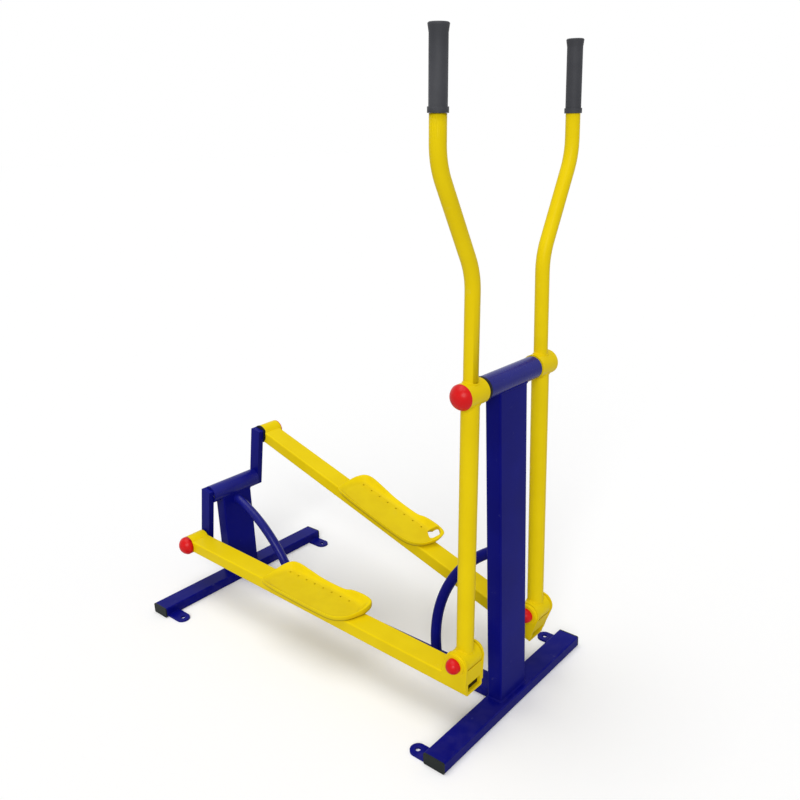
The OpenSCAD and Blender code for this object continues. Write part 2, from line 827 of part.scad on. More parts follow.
module pivot_bolt(side) {
    color(steel_grey) at_beam(side) translate([beam_reach, side * lever_y, pivot_up]) {
        y_rod(pivot_bolt_d, -boss_out, boss_out);
        for (end = [-1, 1]) on_side(end)
            y_hex(pivot_head_af, boss_out, boss_out + pivot_head_t);
    }
}

module pivot_caps(side) {
    rise = pivot_cap_share * pivot_cap_d / 2;
    rim = pivot_cap_len - rise;
    mouth_d = pivot_cap_d - 3 * pivot_cap_wall;
    color(cap_red) at_beam(side) translate([beam_reach, side * lever_y, pivot_up])
        for (end = [-1, 1]) on_side(end) difference() {
            domed_rod(pivot_cap_d, boss_out, rim, rise);
            dome_hollow(pivot_cap_d, mouth_d, boss_out, rim, rise, pivot_cap_wall);
        }
}

module crank_hub(side) {
    color(lever_yellow) at_beam(side) on_side(side) hub_shell(crank_hub_d, crank_hub_in, crank_hub_out);
}

module beam_bearings(side) {
    color(steel_grey) at_beam(side) on_side(side) bearing_pair(crank_hub_in, crank_hub_out);
}

// Pin that the crank arm carries, shouldered against the inner bearing, with its washer and nut
module crank_pin(side) {
    nut_y = crank_hub_out - outer_bearing_inset;
    end = nut_y + washer_t + hub_nut_t + spindle_thread;
    color(steel_grey) at_beam(side) on_side(side) {
        y_rod(axle_d, arm_out + run_gap, crank_hub_in + bearing_inset);
        y_rod(spindle_d, arm_out + run_gap, end);
        hub_nut(nut_y);
    }
}

module crank_seal(side) {
    color(rubber_black) at_beam(side) on_side(side)
        hub_seal_ring(crank_hub_d - seal_step, crank_seal_t, crank_hub_in);
}

module crank_cap(side) {
    color(cap_red) at_beam(side) on_side(side) dome_cap(crank_hub_d, crank_hub_out, crank_cap_rim);
}

// Cast tray: rings of points from the underside, up the outer wall, over the rim and down to the floor
module tray_shell() {
    size = [tray_len, tray_w, tray_rim];
    rim = [for (p = tray_rim_shares) [p[0] * size[0], p[1] * size[1], p[2] * size[2]]];
    edge = [for (p = tray_floor_shares) [p[0] * size[0], p[1] * size[1], 0]];
    outer = closed_curve(rim, tray_steps);
    inner = closed_curve(edge, tray_steps);
    n = len(outer);
    rings = len(tray_ring_shares) + 1;
    points = [
        for (r = tray_ring_shares, i = [0:n - 1])
            let (flat = outer[i] * (1 - r[0]) + inner[i] * r[0])
            [flat[0], flat[1], r[0] > 0.3 && r[1] > 0
                ? tray_floor + r[1] * (outer[i][2] - tray_floor)
                : r[1] * outer[i][2]],
        for (i = [0:n - 1]) [inner[i][0], inner[i][1], tray_floor]
    ];
    walls = [
        for (k = [0:rings - 2], i = [0:n - 1])
            let (j = (i + 1) % n, a = k * n, b = (k + 1) * n)
            each [[a + i, b + i, a + j], [a + j, b + i, b + j]]
    ];
    underside = [for (i = [0:n - 1]) i];
    floor_face = [for (i = [n - 1:-1:0]) (rings - 1) * n + i];
    polyhedron(points = points, faces = concat(walls, [underside, floor_face]));
}

module foot_tray(side) {
    color(lever_yellow) at_beam(side) translate([tray_start, side * lever_y - tray_right, beam_half])
        difference() {
            tray_shell();
            translate([tray_loop_shares[0] * tray_len, tray_loop_shares[1] * tray_w, -cut])
                rotate([0, 0, tray_loop_turn]) linear_extrude(tray_rim + 2 * cut)
                    round_rect(tray_loop_len, tray_loop_w, tray_loop_w / 3);
            for (k = [0:drains - 1]) {
                share = drain_shares[0] + (drain_shares[1] - drain_shares[0]) * k / (drains - 1);
                translate([share[0] * tray_len, share[1] * tray_w, -cut])
                    cylinder(d = drain_d, h = tray_rim, $fn = 24);
            }
            for (p = tray_bolt_shares) translate([p[0] * tray_len, p[1] * tray_w, 0]) {
                translate([0, 0, -cut]) cylinder(d = tray_bolt_d + 2 * bolt_gap, h = tray_floor + 2 * cut);
                translate([0, 0, tray_floor - bolt_head_t - bolt_gap])
                    cylinder(d = bolt_head_d + 2 * bolt_gap, h = tray_rim);
            }
        }
}

// Tray bolts: a flush head, a shank through the beam's top wall, and a nut under it
module tray_bolts(side) {
    below = beam_wall + tray_nut_t;
    color(steel_grey) at_beam(side) translate([tray_start, side * lever_y - tray_right, beam_half])
        for (p = tray_bolt_shares) translate([p[0] * tray_len, p[1] * tray_w, 0]) {
            translate([0, 0, tray_floor - bolt_head_t]) cylinder(d = bolt_head_d, h = bolt_head_t);
            translate([0, 0, -below]) cylinder(d = tray_bolt_d, h = below + tray_floor);
            translate([0, 0, -below]) cylinder(d = tray_nut_af / cos(30), h = tray_nut_t, $fn = 6);
        }
}

front_foot();
rear_foot();
base_beam();
front_post();
rear_post();
front_brace();
rear_brace();
axle_housing();
axle_collars();
crank_housing();
front_anchor_lugs();
rear_anchor_lugs();
foot_end_plugs();
lever_axle();
axle_nuts();
crank_bearings();
crank_shaft();
right_crank_arm();
left_crank_arm();
lever_hub(-1);  // right_lever_hub
lower_tube(-1);  // right_lower_tube
handle_tube(-1);  // right_handle_tube
grip(-1);  // right_grip
hub_bearings(-1);  // right_hub_bearings
hub_seal(-1);  // right_hub_seal
hub_cap(-1);  // right_hub_cap
foot_hub(-1);  // right_foot_hub
foot_bushes(-1);  // right_foot_bushes
lever_hub(1);  // left_lever_hub
lower_tube(1);  // left_lower_tube
handle_tube(1);  // left_handle_tube
grip(1);  // left_grip
hub_bearings(1);  // left_hub_bearings
hub_seal(1);  // left_hub_seal
hub_cap(1);  // left_hub_cap
foot_hub(1);  // left_foot_hub
foot_bushes(1);  // left_foot_bushes
beam_tube(-1);  // right_beam_tube
beam_ears(-1);  // right_beam_ears
pivot_bolt(-1);  // right_pivot_bolt
pivot_caps(-1);  // right_pivot_caps
crank_hub(-1);  // right_crank_hub
beam_bearings(-1);  // right_beam_bearings
crank_pin(-1);  // right_crank_pin
crank_seal(-1);  // right_crank_seal
crank_cap(-1);  // right_crank_cap
foot_tray(-1);  // right_foot_tray
tray_bolts(-1);  // right_tray_bolts
beam_tube(1);  // left_beam_tube
beam_ears(1);  // left_beam_ears
pivot_bolt(1);  // left_pivot_bolt
pivot_caps(1);  // left_pivot_caps
crank_hub(1);  // left_crank_hub
beam_bearings(1);  // left_beam_bearings
crank_pin(1);  // left_crank_pin
crank_seal(1);  // left_crank_seal
crank_cap(1);  // left_crank_cap
foot_tray(1);  // left_foot_tray
tray_bolts(1);  // left_tray_bolts
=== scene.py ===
# %% [markdown]
# # An outdoor air walker
# This is a park exercise machine: two upright levers swing on an axle at the top of a post, and two
# foot beams run from the levers' lower ends back to a crank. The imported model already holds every
# rigid piece at its real size and place. What follows gives those pieces their paint, rubber,
# plastic and metal, and adds forms that are finer than the model needs, such as weld beads.

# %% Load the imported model
import json
import math

import bmesh
import bpy
from mathutils import Matrix, Vector


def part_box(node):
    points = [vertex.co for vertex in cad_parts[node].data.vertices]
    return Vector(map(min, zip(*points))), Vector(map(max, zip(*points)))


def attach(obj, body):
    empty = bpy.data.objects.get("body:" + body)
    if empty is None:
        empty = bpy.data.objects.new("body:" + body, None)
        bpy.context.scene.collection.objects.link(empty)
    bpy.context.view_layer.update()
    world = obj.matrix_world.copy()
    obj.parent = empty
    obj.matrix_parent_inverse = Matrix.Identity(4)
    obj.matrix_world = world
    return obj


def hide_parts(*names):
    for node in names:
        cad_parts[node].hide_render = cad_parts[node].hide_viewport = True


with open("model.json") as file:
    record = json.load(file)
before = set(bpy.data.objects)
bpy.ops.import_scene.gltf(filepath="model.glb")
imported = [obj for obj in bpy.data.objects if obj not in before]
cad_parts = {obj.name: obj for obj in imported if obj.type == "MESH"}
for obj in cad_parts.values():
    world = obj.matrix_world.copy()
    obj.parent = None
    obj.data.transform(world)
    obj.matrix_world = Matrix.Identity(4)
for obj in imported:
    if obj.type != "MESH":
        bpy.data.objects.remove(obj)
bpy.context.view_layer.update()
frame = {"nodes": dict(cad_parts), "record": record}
mm = 0.001

# %% [markdown]
# ## Where things are
# Every node's mesh already lies in its place, so its box tells where the real piece is. A ring's box
# has its axis in the middle, which gives the axle, the foot pivots and the crank pins. Two frames
# follow from them: one that hangs on the axle with a lever, and one that lies along a foot beam.

# %% Find the axes and the two moving frames
SIDES = {"right": -1, "left": 1}
# Where a beam's front pivot lies, along the beam and up from the crank pin
BEAM_REACH, PIVOT_UP = 1080 * mm, 64 * mm
# Half the width and half the height of a beam
HALF_WIDTH, HALF_HEIGHT = 31 * mm, 18.5 * mm
# How far a lever and its beam lie from the middle plane
LEVER_Y = 141 * mm


def middle(node):
    low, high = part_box(node)
    return (low + high) / 2


def radius_of(node):
    low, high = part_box(node)
    return (high.z - low.z) / 2


axle = middle("lever_axle")
crank_axis = middle("crank_housing")


def lever_frame(name):
    """Places what is drawn on the left lever, with its axle at the origin, on the named side."""
    pivot = middle(name + "_foot_hub")
    lean = math.atan2(axle.x - pivot.x, axle.z - pivot.z)
    mirror = Matrix.Diagonal((1, SIDES[name], 1, 1))
    return mirror @ Matrix.Translation(axle) @ Matrix.Rotation(lean, 4, "Y")


def beam_frame(name, start=(0, 0, 0)):
    """Places what is drawn from a point of a beam on, X from the crank pin towards the pivot."""
    pin, pivot = middle(name + "_crank_hub"), middle(name + "_foot_hub")
    pitch = math.atan2(pivot.z - pin.z, pivot.x - pin.x) - math.atan2(PIVOT_UP, BEAM_REACH)
    along = Matrix.Translation((pin.x, 0, pin.z)) @ Matrix.Rotation(-pitch, 4, "Y")
    return along @ Matrix.Translation(start)


LEVER_LEN = (axle - middle("left_foot_hub")).xz.length
print("axle height", round(axle.z, 4), "lever", round(LEVER_LEN, 4), "crank height", round(crank_axis.z, 4))

# %% [markdown]
# ## The camera
# The photograph was taken from the front right, from above head height, with the camera slightly
# tilted. Straight posts and level feet fix such a view, so it is written here as a place, three
# angles and a lens. The small shift is there because the machine isn't in the picture's middle.

# %% Set the camera
CAMERA_AT = Vector((0.9843, -1.4686, 1.3918))
CAMERA_TURN = math.radians(39.93)
CAMERA_DROP = math.radians(17.39)
CAMERA_TILT = math.radians(-1.79)
# In millimetres on a sensor 36 mm wide, and as shares of the picture's width
CAMERA_LENS, CAMERA_SHIFT = 36.47, (-0.0310, -0.0128)

back = Vector((
    math.sin(CAMERA_TURN) * math.cos(CAMERA_DROP),
    -math.cos(CAMERA_TURN) * math.cos(CAMERA_DROP),
    math.sin(CAMERA_DROP),
))
level = Vector((math.cos(CAMERA_TURN), math.sin(CAMERA_TURN), 0))
upright = back.cross(level)
across = level * math.cos(CAMERA_TILT) + upright * math.sin(CAMERA_TILT)
above = upright * math.cos(CAMERA_TILT) - level * math.sin(CAMERA_TILT)

lens = bpy.data.cameras.new("view_camera")
lens.sensor_width = 36
lens.lens = CAMERA_LENS
lens.shift_x, lens.shift_y = CAMERA_SHIFT
lens.clip_end = 200
camera = bpy.data.objects.new("view_camera", lens)
camera.matrix_world = Matrix((across, above, back)).transposed().to_4x4()
camera.location = CAMERA_AT
bpy.context.scene.collection.objects.link(camera)
bpy.context.scene.camera = camera
print("camera at", tuple(CAMERA_AT), "lens", lens.lens, "mm")

# %% [markdown]
# ## Wires instead of node soup
# A material in Blender is a graph of nodes. Written node by node, even a small sum takes many lines.
# The class below wraps one output of a node, so that sums and products of wires read as maths and
# add the Math nodes by themselves. Any other node comes from one function, settings first.

# %% A class for wires and a function for nodes
class Wire:
    """One output of a node, in a tree of nodes."""

    def __init__(self, tree, socket):
        self.tree = tree
        self.socket = socket

    def maths(self, operation, first, second=0.0):
        return add_node(self.tree, "ShaderNodeMath", {"operation": operation}, {0: first, 1: second})

    def __add__(self, other):
        return self.maths("ADD", self, other)

    def __sub__(self, other):
        return self.maths("SUBTRACT", self, other)

    def __rsub__(self, other):
        return self.maths("SUBTRACT", other, self)

    def __mul__(self, other):
        return self.maths("MULTIPLY", self, other)

    def __truediv__(self, other):
        return self.maths("DIVIDE", self, other)

    __radd__ = __add__
    __rmul__ = __mul__

    def rise(self, low, high):
        """0 below low, 1 above high, with a smooth slope between; high may be the smaller one."""
        return add_node(
            self.tree, "ShaderNodeMapRange", {"interpolation_type": "SMOOTHSTEP"},
            {"Value": self, "From Min": low, "From Max": high},
        )


def pick(sockets, name):
    """A socket by its number or its identifier."""
    if isinstance(name, int):
        return sockets[name]
    return next(s for s in sockets if s.identifier == name)


def add_node(tree, kind, settings=None, sockets=None, output=0):
    """Adds a node, sets it up, feeds its sockets with values or wires, and returns one output."""
    node = tree.nodes.new(kind)
    for name, value in (settings or {}).items():
        setattr(node, name, value)
    for name, value in (sockets or {}).items():
        socket = pick(node.inputs, name)
        if isinstance(value, Wire):
            tree.links.new(value.socket, socket)
        else:
            socket.default_value = value
    return Wire(tree, pick(node.outputs, output))


def srgb(red, green, blue):
    """A colour as it reads on a screen, from 0 to 255, as the light values that shaders use."""
    parts = [c / 255 for c in (red, green, blue)]
    return (*[p / 12.92 if p <= 0.04045 else ((p + 0.055) / 1.055) ** 2.4 for p in parts], 1)


print("a mid grey of 128 is", round(srgb(128, 128, 128)[0], 3), "in light")

# %% [markdown]
# ## Backdrop and lamps
# The machine stands in a bare white studio. The world is plain white where the camera or a glossy
# surface sees it, and a weaker grey for the light it sheds. Two large soft suns stand in for lamp
# panels, one in front of the machine and one overhead. Suns light every part of the floor alike,
# so the floor's white meets the backdrop's white with no visible line.

# %% Light the studio
bpy.context.scene.view_settings.view_transform = "Standard"
# How bright the world is where neither the camera nor a glossy surface looks at it
AMBIENT = 0.34
world = bpy.data.worlds.new("studio")
bpy.context.scene.world = world
world.use_nodes = True
sky = world.node_tree
sky.nodes.clear()
seen = add_node(sky, "ShaderNodeLightPath")
ray_kinds = seen.socket.node.outputs
for kind in ("Is Glossy Ray", "Is Transmission Ray"):
    seen = seen.maths("MAXIMUM", seen, Wire(sky, ray_kinds[kind]))
shed = AMBIENT + seen * (1 - AMBIENT)
glow = add_node(sky, "ShaderNodeBackground", {}, {"Color": (1, 1, 1, 1), "Strength": shed})
world_end = sky.nodes.new("ShaderNodeOutputWorld")
sky.links.new(glow.socket, world_end.inputs["Surface"])
# Strength, spread in degrees, and the direction in which the light goes
SUNS = {
    "front_panel": (1.45, 30, (-0.50, 0.72, -0.48)),
    "top_panel": (1.42, 50, (0.10, 0.10, -1.0)),
}
on_floor = AMBIENT
for name, (strength, spread, towards) in SUNS.items():
    lamp = bpy.data.lights.new(name, "SUN")
    lamp.energy = strength
    lamp.angle = math.radians(spread)
    stand = bpy.data.objects.new(name, lamp)
    stand.rotation_euler = Vector(towards).to_track_quat("-Z", "Y").to_euler()
    bpy.context.scene.collection.objects.link(stand)
    on_floor += strength * -Vector(towards).normalized().z / math.pi
    print(name, "strength", strength, "spread", spread, "degrees")
print("light on the open floor:", round(on_floor, 3))

# %% [markdown]
# ## The floor
# A wide pale floor takes the soft shadow. It returns less light to the machine than it shows the
# camera, because a whole hall of pure white would wash the dark blue paint out. The camera's colour
# is worked out from the lamps, so that open floor is exactly as white as the backdrop.

# %% Lay the floor
# Half the floor's width in metres, and how far it lies under the feet, so that no faces coincide
FLOOR_REACH, FLOOR_DROP = 60, 0.2 * mm
# The share of light that it returns, and the white that it shows to the camera
FLOOR_BOUNCE, FLOOR_WHITE = 0.72, 1.002
mesh = bpy.data.meshes.new("floor")
corners = [(-1, -1), (1, -1), (1, 1), (-1, 1)]
points = [(x * FLOOR_REACH, y * FLOOR_REACH, -FLOOR_DROP) for x, y in corners]
mesh.from_pydata(points, [], [(0, 1, 2, 3)])
floor = bpy.data.objects.new("floor", mesh)
bpy.context.scene.collection.objects.link(floor)
floor_paint = bpy.data.materials.new("pale_floor")
floor_paint.use_nodes = True
ground = floor_paint.node_tree.nodes["Principled BSDF"]
shown = FLOOR_WHITE / on_floor
by_camera = add_node(floor_paint.node_tree, "ShaderNodeLightPath")
pale = add_node(
    floor_paint.node_tree, "ShaderNodeMix", {"data_type": "RGBA"},
    {"Factor_Float": by_camera, "A_Color": (FLOOR_BOUNCE,) * 3 + (1,), "B_Color": (shown,) * 3 + (1,)},
    "Result_Color",
)
floor_paint.node_tree.links.new(pale.socket, ground.inputs["Base Color"])
ground.inputs["Roughness"].default_value = 0.9
ground.inputs["Specular IOR Level"].default_value = 0.0
mesh.materials.append(floor_paint)
print("floor shows", round(shown, 3), "and returns", FLOOR_BOUNCE)

# %% [markdown]
# ## Finishes
# Each finish below is one material, built by a small recipe. They share a helper that starts the
# material, hands out the object's own coordinates in metres, and offers noise by its grain size, so
# that 3 mm of orange peel can be written as 3 mm. All pieces lie at the origin with their place in
# their mesh, so these coordinates are the same as the room's, and a pattern never slides.

# %% A helper that starts a finish
class Finish:
    """A material in the making: one shader, and wires that feed it."""

    def __init__(self, name, **fixed):
        self.material = bpy.data.materials.new(name)
        self.material.use_nodes = True
        self.tree = self.material.node_tree
        self.shader = self.tree.nodes["Principled BSDF"]
        for socket, value in fixed.items():
            self.shader.inputs[socket.replace("_", " ")].default_value = value
        self.place = self.add("ShaderNodeTexCoord", output="Object")

    def add(self, kind, settings=None, sockets=None, output=0):
        return add_node(self.tree, kind, settings, sockets, output)

    def noise(self, grain, detail=2.0, place=None):
        """Soft random values from 0 to 1, with blotches about as wide as the grain."""
        return self.add(
            "ShaderNodeTexNoise", {},
            {"Vector": place or self.place, "Scale": 1 / grain, "Detail": detail, "Roughness": 0.55},
        )

    def blend(self, amount, first, second):
        """A colour between two, by an amount from 0 to 1."""
        return self.add(
            "ShaderNodeMix", {"data_type": "RGBA"},
            {"Factor_Float": amount, "A_Color": first, "B_Color": second}, "Result_Color",
        )

    def done(self, colour, rough, height, depth):
        """Feeds the shader, with a normal from a height map whose full range is depth, in metres."""
        bump = {"Height": height, "Distance": depth, "Strength": 1.0}
        wires = {"Base Color": colour, "Roughness": rough, "Normal": self.add("ShaderNodeBump", {}, bump)}
        for socket, wire in wires.items():
            self.tree.links.new(wire.socket, self.shader.inputs[socket])
        return self.material


print("a finish feeds colour, roughness and normal")

# %% [markdown]
# ## Powder coat
# The stand is blue and all that moves is yellow. Powder coat is melted on, which leaves a shallow
# orange peel about 3 mm wide, a colour that drifts a little from one patch to the next, and a satin
# gloss. Outdoors it also takes dust near the ground and faint scuffs. A single flat colour would
# show none of that, so the recipe mixes all four. The stand's round tubes show a brighter streak
# along their tops than its flat ones, so they get a glossier mix of the same blue, and a lighter
# copy of it whose lighter colour is a painted highlight for that streak.

# %% Mix the powder coats
# How wide the blotches of colour, of gloss, of scuffs and of dust are, and the orange peel
DRIFT, SATIN, SCUFFS, DUST, PEEL = 160 * mm, 9 * mm, 22 * mm, 35 * mm, 3 * mm
PEEL_DEPTH = 0.05 * mm
# Dust lies fully at the lower height and is gone at the upper one
DUST_LOW, DUST_HIGH = 5 * mm, 60 * mm
SCUFF_SHARE, SCUFF_GREY = 0.035, srgb(205, 205, 200)
DUST_SHARE, DUST_BROWN = 0.07, srgb(128, 118, 104)


def powder_coat(name, colour, deep, gloss=0.32, specular=0.05):
    coat = Finish(name, Specular_IOR_Level=specular)
    tint = coat.blend(coat.noise(DRIFT, 3.0).rise(0.3, 0.7), colour, deep)
    scuffs = coat.noise(SCUFFS, 5.0).rise(0.66, 0.74)
    tint = coat.blend(scuffs * SCUFF_SHARE, tint, SCUFF_GREY)
    height = coat.add("ShaderNodeSeparateXYZ", {}, {"Vector": coat.place}, "Z")
    dust = height.rise(DUST_HIGH, DUST_LOW) * coat.noise(DUST, 4.0).rise(0.38, 0.72)
    tint = coat.blend(dust * DUST_SHARE, tint, DUST_BROWN)
    rough = gloss + 0.10 * (coat.noise(SATIN, 3.0) - 0.5) + 0.16 * scuffs + 0.25 * dust
    return coat.done(tint, rough, coat.noise(PEEL, 1.0), PEEL_DEPTH)


frame_paint = powder_coat("blue_powder_coat", srgb(10, 14, 119), srgb(7, 10, 108))
lever_paint = powder_coat("yellow_powder_coat", srgb(234, 206, 14), srgb(228, 199, 10))
# A glossier and lighter copy of the frame's blue: the lighter colour is a painted highlight for the round
# tubes
painted_highlight_tube_paint = powder_coat("blue_tube_coat_painted_highlight", srgb(20, 24, 124), srgb(15, 18, 112), gloss=0.26, specular=0.18)
print("coats:", frame_paint.name, lever_paint.name, painted_highlight_tube_paint.name)

# %% [markdown]
# ## The trays' paint
# The foot trays are castings under the same yellow. Sand-cast metal is grainier than tube, and
# shoes polish the floor of the tray, so this coat has a coarser skin and worn, smoother patches.
# The hollow floor is darkened as painted shade, and the tray's foot, where it meets its beam, much
# darker as a painted shadow of its overhang. Both go by the height over the tray's underside, which
# each tray's mesh carries as an attribute named lift.

# %% Mix the tray paint
# How wide the blotches of colour, the worn patches and the grains of the casting are
CAST_DRIFT, RUB, SAND = 70 * mm, 28 * mm, 1.6 * mm
SAND_DEPTH = 0.09 * mm
# Over the underside: the painted shadow at the tray's foot fades out between the first two heights, and the
# painted shade of the hollow floor between the others
JOINT_SHADE_LOW, JOINT_SHADE_HIGH, HOLLOW_LOW, HOLLOW_HIGH = 1.5 * mm, 6.5 * mm, 8 * mm, 13 * mm
RUB_SHARE, RUB_TINT = 0.12, srgb(214, 190, 60)
# Painted shade: a darker yellow over the hollow floor, and a dark olive at the tray's foot as the shadow of
# its overhang
HOLLOW_SHADE_SHARE, PAINTED_HOLLOW_SHADE = 0.30, srgb(196, 170, 34)
JOINT_SHADE_SHARE, PAINTED_JOINT_SHADE = 0.60, srgb(112, 92, 26)


def cast_coat(name, colour, deep):
    coat = Finish(name, Specular_IOR_Level=0.05)
    tint = coat.blend(coat.noise(CAST_DRIFT, 4.0).rise(0.3, 0.7), colour, deep)
    rub = coat.noise(RUB, 5.0).rise(0.55, 0.75)
    tint = coat.blend(rub * RUB_SHARE, tint, RUB_TINT)
    lift = coat.add("ShaderNodeAttribute", {"attribute_name": "lift"}, {}, "Fac")
    # Painted shade: darkest at the tray's foot, where its overhang's shadow falls, and darker over the
    # hollow floor
    painted_joint_shade = lift.rise(JOINT_SHADE_HIGH, JOINT_SHADE_LOW)
    hollow = lift.rise(HOLLOW_HIGH, HOLLOW_LOW) - painted_joint_shade
    tint = coat.blend(hollow * HOLLOW_SHADE_SHARE, tint, PAINTED_HOLLOW_SHADE)
    tint = coat.blend(painted_joint_shade * JOINT_SHADE_SHARE, tint, PAINTED_JOINT_SHADE)
    sand = coat.noise(SAND, 3.0)
    rough = 0.44 + 0.12 * (sand - 0.5) - 0.10 * rub + 0.12 * painted_joint_shade
    return coat.done(tint, rough, sand, SAND_DEPTH)


tray_paint = cast_coat("yellow_casting_coat", srgb(236, 209, 14), srgb(228, 199, 12))
print("coat:", tray_paint.name)

# %% [markdown]
# ## Plastic and rubber
# The hub caps are glossy red mouldings. The grips are black rubber sleeves with a dull, slightly
# pebbled skin, worn smoother where hands hold them. The tube ends have ribbed plastic plugs, which
# have a greener black than rubber, and each hub has a soft black seal.

# %% Mix the plastics and rubbers
MOULD_DRIFT = 30 * mm


def moulded(name, colour, deep, rough, specular, skin, skin_depth):
    stuff = Finish(name, Specular_IOR_Level=specular)
    drift = stuff.noise(MOULD_DRIFT, 3.0)
    pebble = stuff.noise(skin, 2.0)
    tint = stuff.blend(drift, srgb(*colour), srgb(*deep))
    roughness = rough + 0.12 * (drift - 0.5) + 0.08 * (pebble - 0.5)
    return stuff.done(tint, roughness, pebble, skin_depth)


# Colour, deeper colour, roughness, specular, and how wide and how deep the skin's pebbles are
MOULDINGS = {
    "red_cap_plastic": ((216, 18, 20), (202, 12, 16), 0.30, 0.2, 5 * mm, 0.03 * mm),
    "grip_rubber": ((58, 59, 64), (47, 48, 53), 0.62, 0.35, 0.9 * mm, 0.10 * mm),
    "seal_rubber": ((32, 32, 32), (24, 24, 25), 0.55, 0.12, 1.2 * mm, 0.04 * mm),
    "plug_plastic": ((36, 42, 40), (27, 32, 31), 0.45, 0.12, 1.5 * mm, 0.04 * mm),
}
mouldings = [moulded(name, *row) for name, row in MOULDINGS.items()]
cap_plastic, grip_rubber, seal_rubber, plug_plastic = mouldings
print("mouldings:", ", ".join(MOULDINGS))

# %% [markdown]
# ## Bare metal
# The axle, pins, bolts and nuts are zinc-plated steel, and the foot bushes are bronze. Turned
# metal has fine rings round its axis. All the axes here run along Y, so noise that is squeezed
# along Y and drawn out across it gives rings with no mapping of its own for each piece.

# %% Mix the metals
# Blotches to the metre along X, Y and Z: many along the axis, few round it
RINGS = (40, 2500, 40)
RING_DEPTH = 0.01 * mm
PLATING = 6 * mm


def turned_metal(name, colour, deep, rough):
    metal = Finish(name, Metallic=1.0)
    squeezed = metal.add("ShaderNodeMapping", {}, {"Vector": metal.place, "Scale": RINGS})
    rings = metal.noise(1.0, 2.0, squeezed)
    plating = metal.noise(PLATING, 4.0)
    tint = metal.blend(plating.rise(0.35, 0.7), colour, deep)
    roughness = rough + 0.15 * (plating - 0.5) + 0.08 * (rings - 0.5)
    return metal.done(tint, roughness, rings, RING_DEPTH)


steel = turned_metal("zinc_plated_steel", srgb(196, 198, 202), srgb(176, 178, 180), 0.30)
bush_bronze = turned_metal("bush_bronze", srgb(196, 150, 84), srgb(176, 128, 66), 0.28)
print("metals:", steel.name, bush_bronze.name)

# %% [markdown]
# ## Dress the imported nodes
# The record says which slot each node takes its finish from. One table turns slots into materials,
# so a node and any finer piece that stands for it always get the same finish.

# %% Give every node its material
FINISHES = {
    "frame_paint": frame_paint, "lever_paint": lever_paint, "tray_paint": tray_paint,
    "cap_plastic": cap_plastic, "grip_rubber": grip_rubber, "seal_rubber": seal_rubber,
    "plug_plastic": plug_plastic, "steel": steel, "bush_bronze": bush_bronze,
}
slot_of = {part["node"]: part["material_slot"] for part in frame["record"]["subparts"]}
for node, piece in frame["nodes"].items():
    piece.data.materials.clear()
    piece.data.materials.append(FINISHES[slot_of[node]])
# These round tubes take the lighter copy of the blue, a painted highlight
ROUND_TUBES = ("axle_housing", "crank_housing", "rear_brace")
for node in ROUND_TUBES:
    frame["nodes"][node].data.materials[0] = painted_highlight_tube_paint
print("dressed", len(frame["nodes"]), "nodes, and", len(ROUND_TUBES), "of them as round tubes")

# %% [markdown]
# ## From points to a piece
# Most forms below are rings of points with walls between them. Every piece then ends the same way:
# doubles merged, faces turned outwards, smooth shading up to a crease, a finish, and the body that
# it rides on. Another helper runs a tree of Geometry Nodes on a mesh and hands back the plain
# result, because the tree's modifier must not stay on a piece.

# %% Helpers that every piece goes through
SAME_POINT = 0.01 * mm


def walled(rings, again=False):
    """A form from rings of points: walls between them, and an end on both sides, or round again."""
    form = bmesh.new()
    rows = [[form.verts.new(point) for point in ring] for ring in rings]
    for low, high in zip(rows, rows[1:] + rows[:1] if again else rows[1:]):
        for k in range(len(low)):
            j = (k + 1) % len(low)
            form.faces.new((low[k], low[j], high[j], high[k]))
    if not again:
        form.faces.new(reversed(rows[0]))
        form.faces.new(rows[-1])
    return form


def as_object(name, form):
    """Makes a bmesh an object of the scene, its faces turned outwards."""
    bmesh.ops.recalc_face_normals(form, faces=form.faces)
    made = bpy.data.meshes.new(name)
    form.to_mesh(made)
    form.free()
    piece = bpy.data.objects.new(name, made)
    bpy.context.scene.collection.objects.link(piece)
    return piece


def finished(name, form, slot, body, stands_for=None, crease=30, paint=None):
    """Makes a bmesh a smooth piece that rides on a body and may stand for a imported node."""
    bmesh.ops.remove_doubles(form, verts=form.verts, dist=SAME_POINT)
    piece = as_object(name, form)
    piece.data.materials.append(paint or FINISHES[slot])
    piece.data.shade_smooth()
    piece.data.set_sharp_from_angle(angle=math.radians(crease))
    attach(piece, body)
    if stands_for:
        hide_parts(stands_for)
    print(name, len(piece.data.polygons), "faces on", body)


def left_by(modifier):
    """The plain mesh that an object's one modifier makes; the object itself goes."""
    source = modifier.id_data
    ready = source.evaluated_get(bpy.context.evaluated_depsgraph_get())
    made = bpy.data.meshes.new_from_object(ready)
    source.modifiers.remove(modifier)
    bpy.data.objects.remove(source)
    return made


def grown(source, tree, inputs):
    """Runs a tree on a mesh and returns the result as a bmesh, with nothing left in the scene."""
    seed = bpy.data.objects.new("seed", source)
    bpy.context.scene.collection.objects.link(seed)
    modifier = seed.modifiers.new("grow", "NODES")
    modifier.node_group = tree
    for item in tree.interface.items_tree:
        if item.in_out == "INPUT" and item.name in inputs:
            modifier[item.identifier] = inputs[item.name]
    form = bmesh.new()
    form.from_mesh(left_by(modifier))
    return form


def new_tree(name, inputs):
    """An empty tree with named inputs and one geometry output, and the wires of its inputs."""
    tree = bpy.data.node_groups.new(name, "GeometryNodeTree")
    for label, kind in inputs.items():
        tree.interface.new_socket(label, in_out="INPUT", socket_type="NodeSocket" + kind)
    tree.interface.new_socket("Result", in_out="OUTPUT", socket_type="NodeSocketGeometry")
    given = tree.nodes.new("NodeGroupInput")
    return tree, [Wire(tree, socket) for socket in given.outputs[:len(inputs)]]


